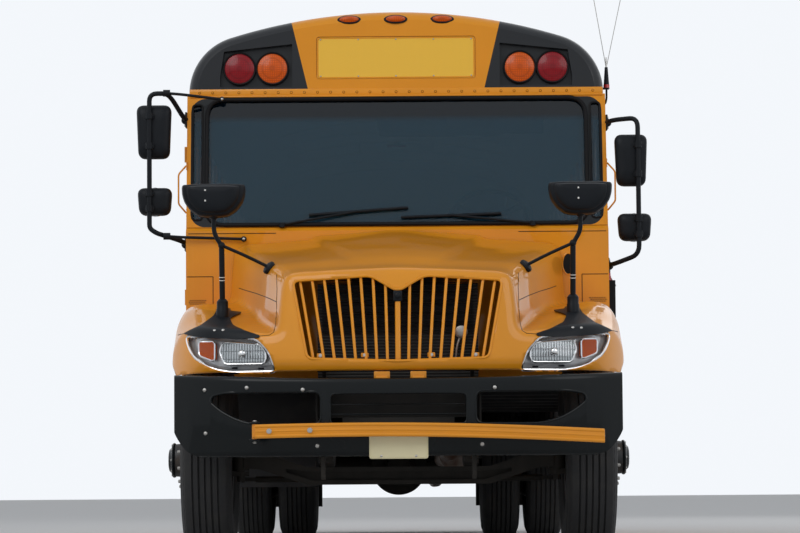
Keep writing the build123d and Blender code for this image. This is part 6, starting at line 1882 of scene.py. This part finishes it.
def makeBenches():
    half = bench["half"]
    edge = half - 0.009
    cushion, back = bmesh.new(), bmesh.new()
    slab(cushion, (-edge, -0.391, 1.397), (edge, -0.008, 1.500), 0.034, 3)
    cushion = puffed(cushion, "cushionForm", bench["voxel"], bench["cap"])
    prism(back, pane(-edge, 1.380, edge, 1.990, 0.075), "Y", 0.008, 0.070, 0.022, 3)
    back = puffed(back, "backForm", bench["voxel"], bench["cap"] * 0.8)
    leaned(back, 1.370, 2.0, 0.046)
    for name, pad, heart in (("benchCushions", cushion, (-0.20, 1.45)), ("benchBacks", back, (0.060, 1.68))):
        tree = BVHTree.FromBMesh(pad)
        seams, pads, piping = bmesh.new(), bmesh.new(), bmesh.new()
        for side in (-1, 1):
            seamRing(seams, tree, bench["seam"], (side * (half - bench["seamIn"]), *heart))
        for side in (-1, 1):
            for row in range(0 if side < 0 else 1, bench["rows"]):
                move = (side * (bench["outer"] - half), bench["firstY"] + row * sides["pitch"], 0)
                for source, whole in ((pad, pads), (seams, piping)):
                    copy = source.copy()
                    bmesh.ops.translate(copy, vec=move, verts=copy.verts)
                    joined(whole, copy)
        pad.free()
        seams.free()
        keepPad(pads, piping, name, "passenger_seats")


def makeDriverSeat():
    seat = {
        "x": 0.545, "voxel": 0.017, "cap": 0.010, "seam": 0.003, "seamX": 0.125, "bellows": 5,
        "back": ((0.225, 1.570), (0.215, 1.960), (0.150, 2.020), (0.140, 2.202)),
    }
    x = seat["x"]
    cushion, back = bmesh.new(), bmesh.new()
    slab(cushion, (x - 0.241, -2.626, 1.488), (x + 0.241, -2.165, 1.592), 0.036, 3)
    cushion = puffed(cushion, "driverCushionForm", seat["voxel"], seat["cap"])
    outline = [(x - seat["back"][0][0], seat["back"][0][1])] + [(x + reach, z) for reach, z in seat["back"]]
    outline += [(x - reach, z) for reach, z in seat["back"][:0:-1]]
    prism(back, softened(outline, 0.05, 4), "Y", -2.197, -2.113, 0.026, 3)
    back = puffed(back, "driverBackForm", seat["voxel"], seat["cap"])
    leaned(back, 1.560, 2.210, 0.090)
    for name, pad, heart in (("driverCushion", cushion, (-2.40, 1.54)), ("driverBack", back, (-2.14, 1.80))):
        tree = BVHTree.FromBMesh(pad)
        piping = bmesh.new()
        for side in (-1, 1):
            seamRing(piping, tree, seat["seam"], (x + side * seat["seamX"], *heart))
        keepPad(pad, piping, name, "driver_seat")
    form = bmesh.new()
    slab(form, (x - 0.20, -2.58, 1.462), (x + 0.20, -2.20, 1.492), 0.008)
    for number in range(seat["bellows"]):   # bellows round the seat's spring
        z = 1.20 + number * 0.052
        slab(form, (x - 0.140, -2.535, z), (x + 0.140, -2.235, z + 0.040), 0.018, 3, 1)
        slab(form, (x - 0.122, -2.517, z + 0.036), (x + 0.122, -2.253, z + 0.056), 0.004, 1, 1)
    slab(form, (x - 0.150, -2.545, 1.062), (x + 0.150, -2.225, 1.200), 0.010)
    tube(form, ((x + 0.21, -2.50, 1.475), (x + 0.235, -2.56, 1.475), (x + 0.235, -2.60, 1.50)), 0.006, 0.02, 8, 2)
    keep(form, "driverPedestal", "chassis", "seat_steel", "chassis", "rubber", "steel")


# Dashboard: gauge rings, switches, louvres and a turn-signal stalk
def makeDash():
    dash = {
        "x": 0.545, "y": -3.112, "lean": (0, 1.0, -0.118),
        "gauges": ((0.455, 1.655, 0.052), (0.635, 1.655, 0.052), (0.335, 1.685, 0.026), (0.335, 1.620, 0.026),
                   (0.755, 1.685, 0.026), (0.755, 1.620, 0.026), (0.545, 1.690, 0.022), (0.545, 1.620, 0.022)),
        "ticks": 11, "switches": 10, "vents": (-0.30, -0.05, 1.08), "ventPitch": 0.0105, "slots": 28,
        "wheel": (0.545, -2.925, 1.950), "wheelLean": 42, "grips": 36, "gripRing": 0.230,
    }
    form = bmesh.new()
    y = dash["y"]
    lean = Vector(dash["lean"]).normalized()
    slab(form, (0.250, y - 0.020, 1.580), (0.840, y + 0.004, 1.722), 0.008)
    for x, z, radius in dash["gauges"]:
        spot = Vector((x, y + 0.004, z))
        lathe(form, ((-0.004, 0), (-0.004, radius), (0.007, radius), (0.007, radius * 0.90), (0.001, radius * 0.86),
                     (0.001, 0)), spot, lean, 28, 1)
        lathe(form, ((0.0012, 0), (0.0012, radius * 0.86), (0.0016, radius * 0.85), (0.0016, 0)), spot, lean, 24, 2)
        root = spot + lean * 0.003
        drum(form, root, root + Vector((-0.5, 0, 0.6)).normalized() * radius * 0.65, 0.0018, 0.0008, 6, 3)
        for number in range(dash["ticks"]):
            angle = math.radians(-45 + number * 27)
            tick = Vector((math.cos(angle), 0, math.sin(angle))) * radius
            mark = spot + lean * 0.0018
            drum(form, mark + tick * 0.66, mark + tick * 0.80, 0.0010, None, 4, 3)
    for number in range(dash["switches"]):
        x = 0.885 + (number % 5) * 0.045
        z = 1.680 if number < 5 else 1.622
        slab(form, (x - 0.015, y - 0.006, z - 0.020), (x + 0.015, y + 0.008, z + 0.020), 0.003, 1)
        slab(form, (x - 0.011, y, z - 0.015), (x + 0.011, y + 0.013, z + 0.002), 0.003, 1, 1 if number % 3 else 3)
    for x in dash["vents"]:   # round air vents
        lathe(form, ((-0.004, 0), (-0.004, 0.046), (0.010, 0.046), (0.010, 0.040), (0.002, 0.038), (0.002, 0)),
              (x, y + 0.002, 1.655), lean, 28)
        for rise in (number * dash["ventPitch"] for number in range(-3, 4)):
            reach = math.sqrt(0.037 ** 2 - rise ** 2)
            slab(form, (x - reach, y + 0.004, 1.654 + rise), (x + reach, y + 0.009, 1.657 + rise))
    for number in range(dash["slots"]):   # slots that clear the windshield
        x = -0.50 + number * 0.060
        slab(form, (x - 0.022, -3.375, 1.803), (x + 0.022, -3.361, 1.812), 0.002, 1)
    tilt = math.radians(dash["wheelLean"])
    axis = Vector((0, math.sin(tilt), math.cos(tilt)))
    heart = Vector(dash["wheel"])
    for side, reach in ((-1, 0.155), (1, 0.120)):   # stalks on the steering column
        root = heart - axis * 0.095
        tip = root + Vector((side * reach, 0, 0)) + axis * 0.02
        tube(form, (root, root + Vector((side * 0.07, 0, 0)), tip), 0.006, 0.03)
        dome(form, tip, (side, 0, 0), 0.010, 0.016, 12, 6)
    keep(form, "dashFittings", "chassis", "dash_plastic", "plastic", "chrome", "gloss black", "stop white")
    form = bmesh.new()   # finger grips, horn pad and spoke covers on the steering wheel
    place = facing(axis, heart)
    for x, z in oval(1.0, 1.0, dash["grips"]):
        spot = place @ (Vector((x, z, 0)) * dash["gripRing"])
        along = place.to_3x3() @ Vector((-z, x, 0))
        drum(form, spot - along * 0.013, spot + along * 0.013, 0.0152, None, 10)
    lathe(form, ((-0.006, 0), (-0.006, 0.055), (0.010, 0.060), (0.020, 0.050), (0.025, 0.030), (0.026, 0)),
          heart, axis, 28)
    lathe(form, ((0.024, 0), (0.024, 0.026), (0.028, 0.024), (0.029, 0)), heart, axis, 24, 1)
    keep(form, "wheelGrip", "steering_wheel", "dash_plastic", "plastic", "gloss black")


def makeCabin():
    # the joints between the ceiling's panels, an inner mirror and a sun visor
    cabin = {"steps": 24, "spread": 1.5, "mirror": (0.25, -3.16, 2.50)}
    form = bmesh.new()
    for number in range(1, sides["windows"]):
        heart = Vector((0, sides["first"] + number * sides["pitch"], roof["heartZ"]))
        sweep = [cabin["spread"] * (2 * step / cabin["steps"] - 1) for step in range(cabin["steps"] + 1)]
        hits = [roofTree.ray_cast(heart, Vector((x, 0, roof["slope"])))[0] for x in sweep]
        route = [hit + (heart - hit).normalized() * 0.002 for hit in hits if hit]
        if len(route) > 3:
            tube(form, route, 0.005, 0, 5)
    keep(form, "ceilingJoints", "chassis", "floor_mat", "headliner")
    form = bmesh.new()
    mirror = Vector(cabin["mirror"])
    outline = pane(-0.36, -0.075, 0.36, 0.075, 0.05, 4)
    prism(form, [(mirror.x + a, mirror.z + b) for a, b in outline], "Y", mirror.y - 0.012, mirror.y + 0.006, 0.004)
    glass = [(mirror.x + a * 0.95, mirror.z + b * 0.90) for a, b in outline]
    prism(form, glass, "Y", mirror.y + 0.006, mirror.y + 0.0075, index=1)
    for x in (-0.2, 0.2):
        route = [mirror + Vector((x, y, z)) for y, z in ((-0.010, 0.03), (-0.060, 0.10), (-0.080, 0.20))]
        tube(form, route, 0.006, 0.03)
    slab(form, (0.30, -3.235, 2.43), (0.86, -3.225, 2.60), 0.006, 2, 2)
    keep(form, "cabinMirror", "chassis", "dash_plastic", "plastic", "mirror", "rubber")


makeBenches()
makeDriverSeat()
makeDash()
makeCabin()
print("benches, driver's place and cabin")
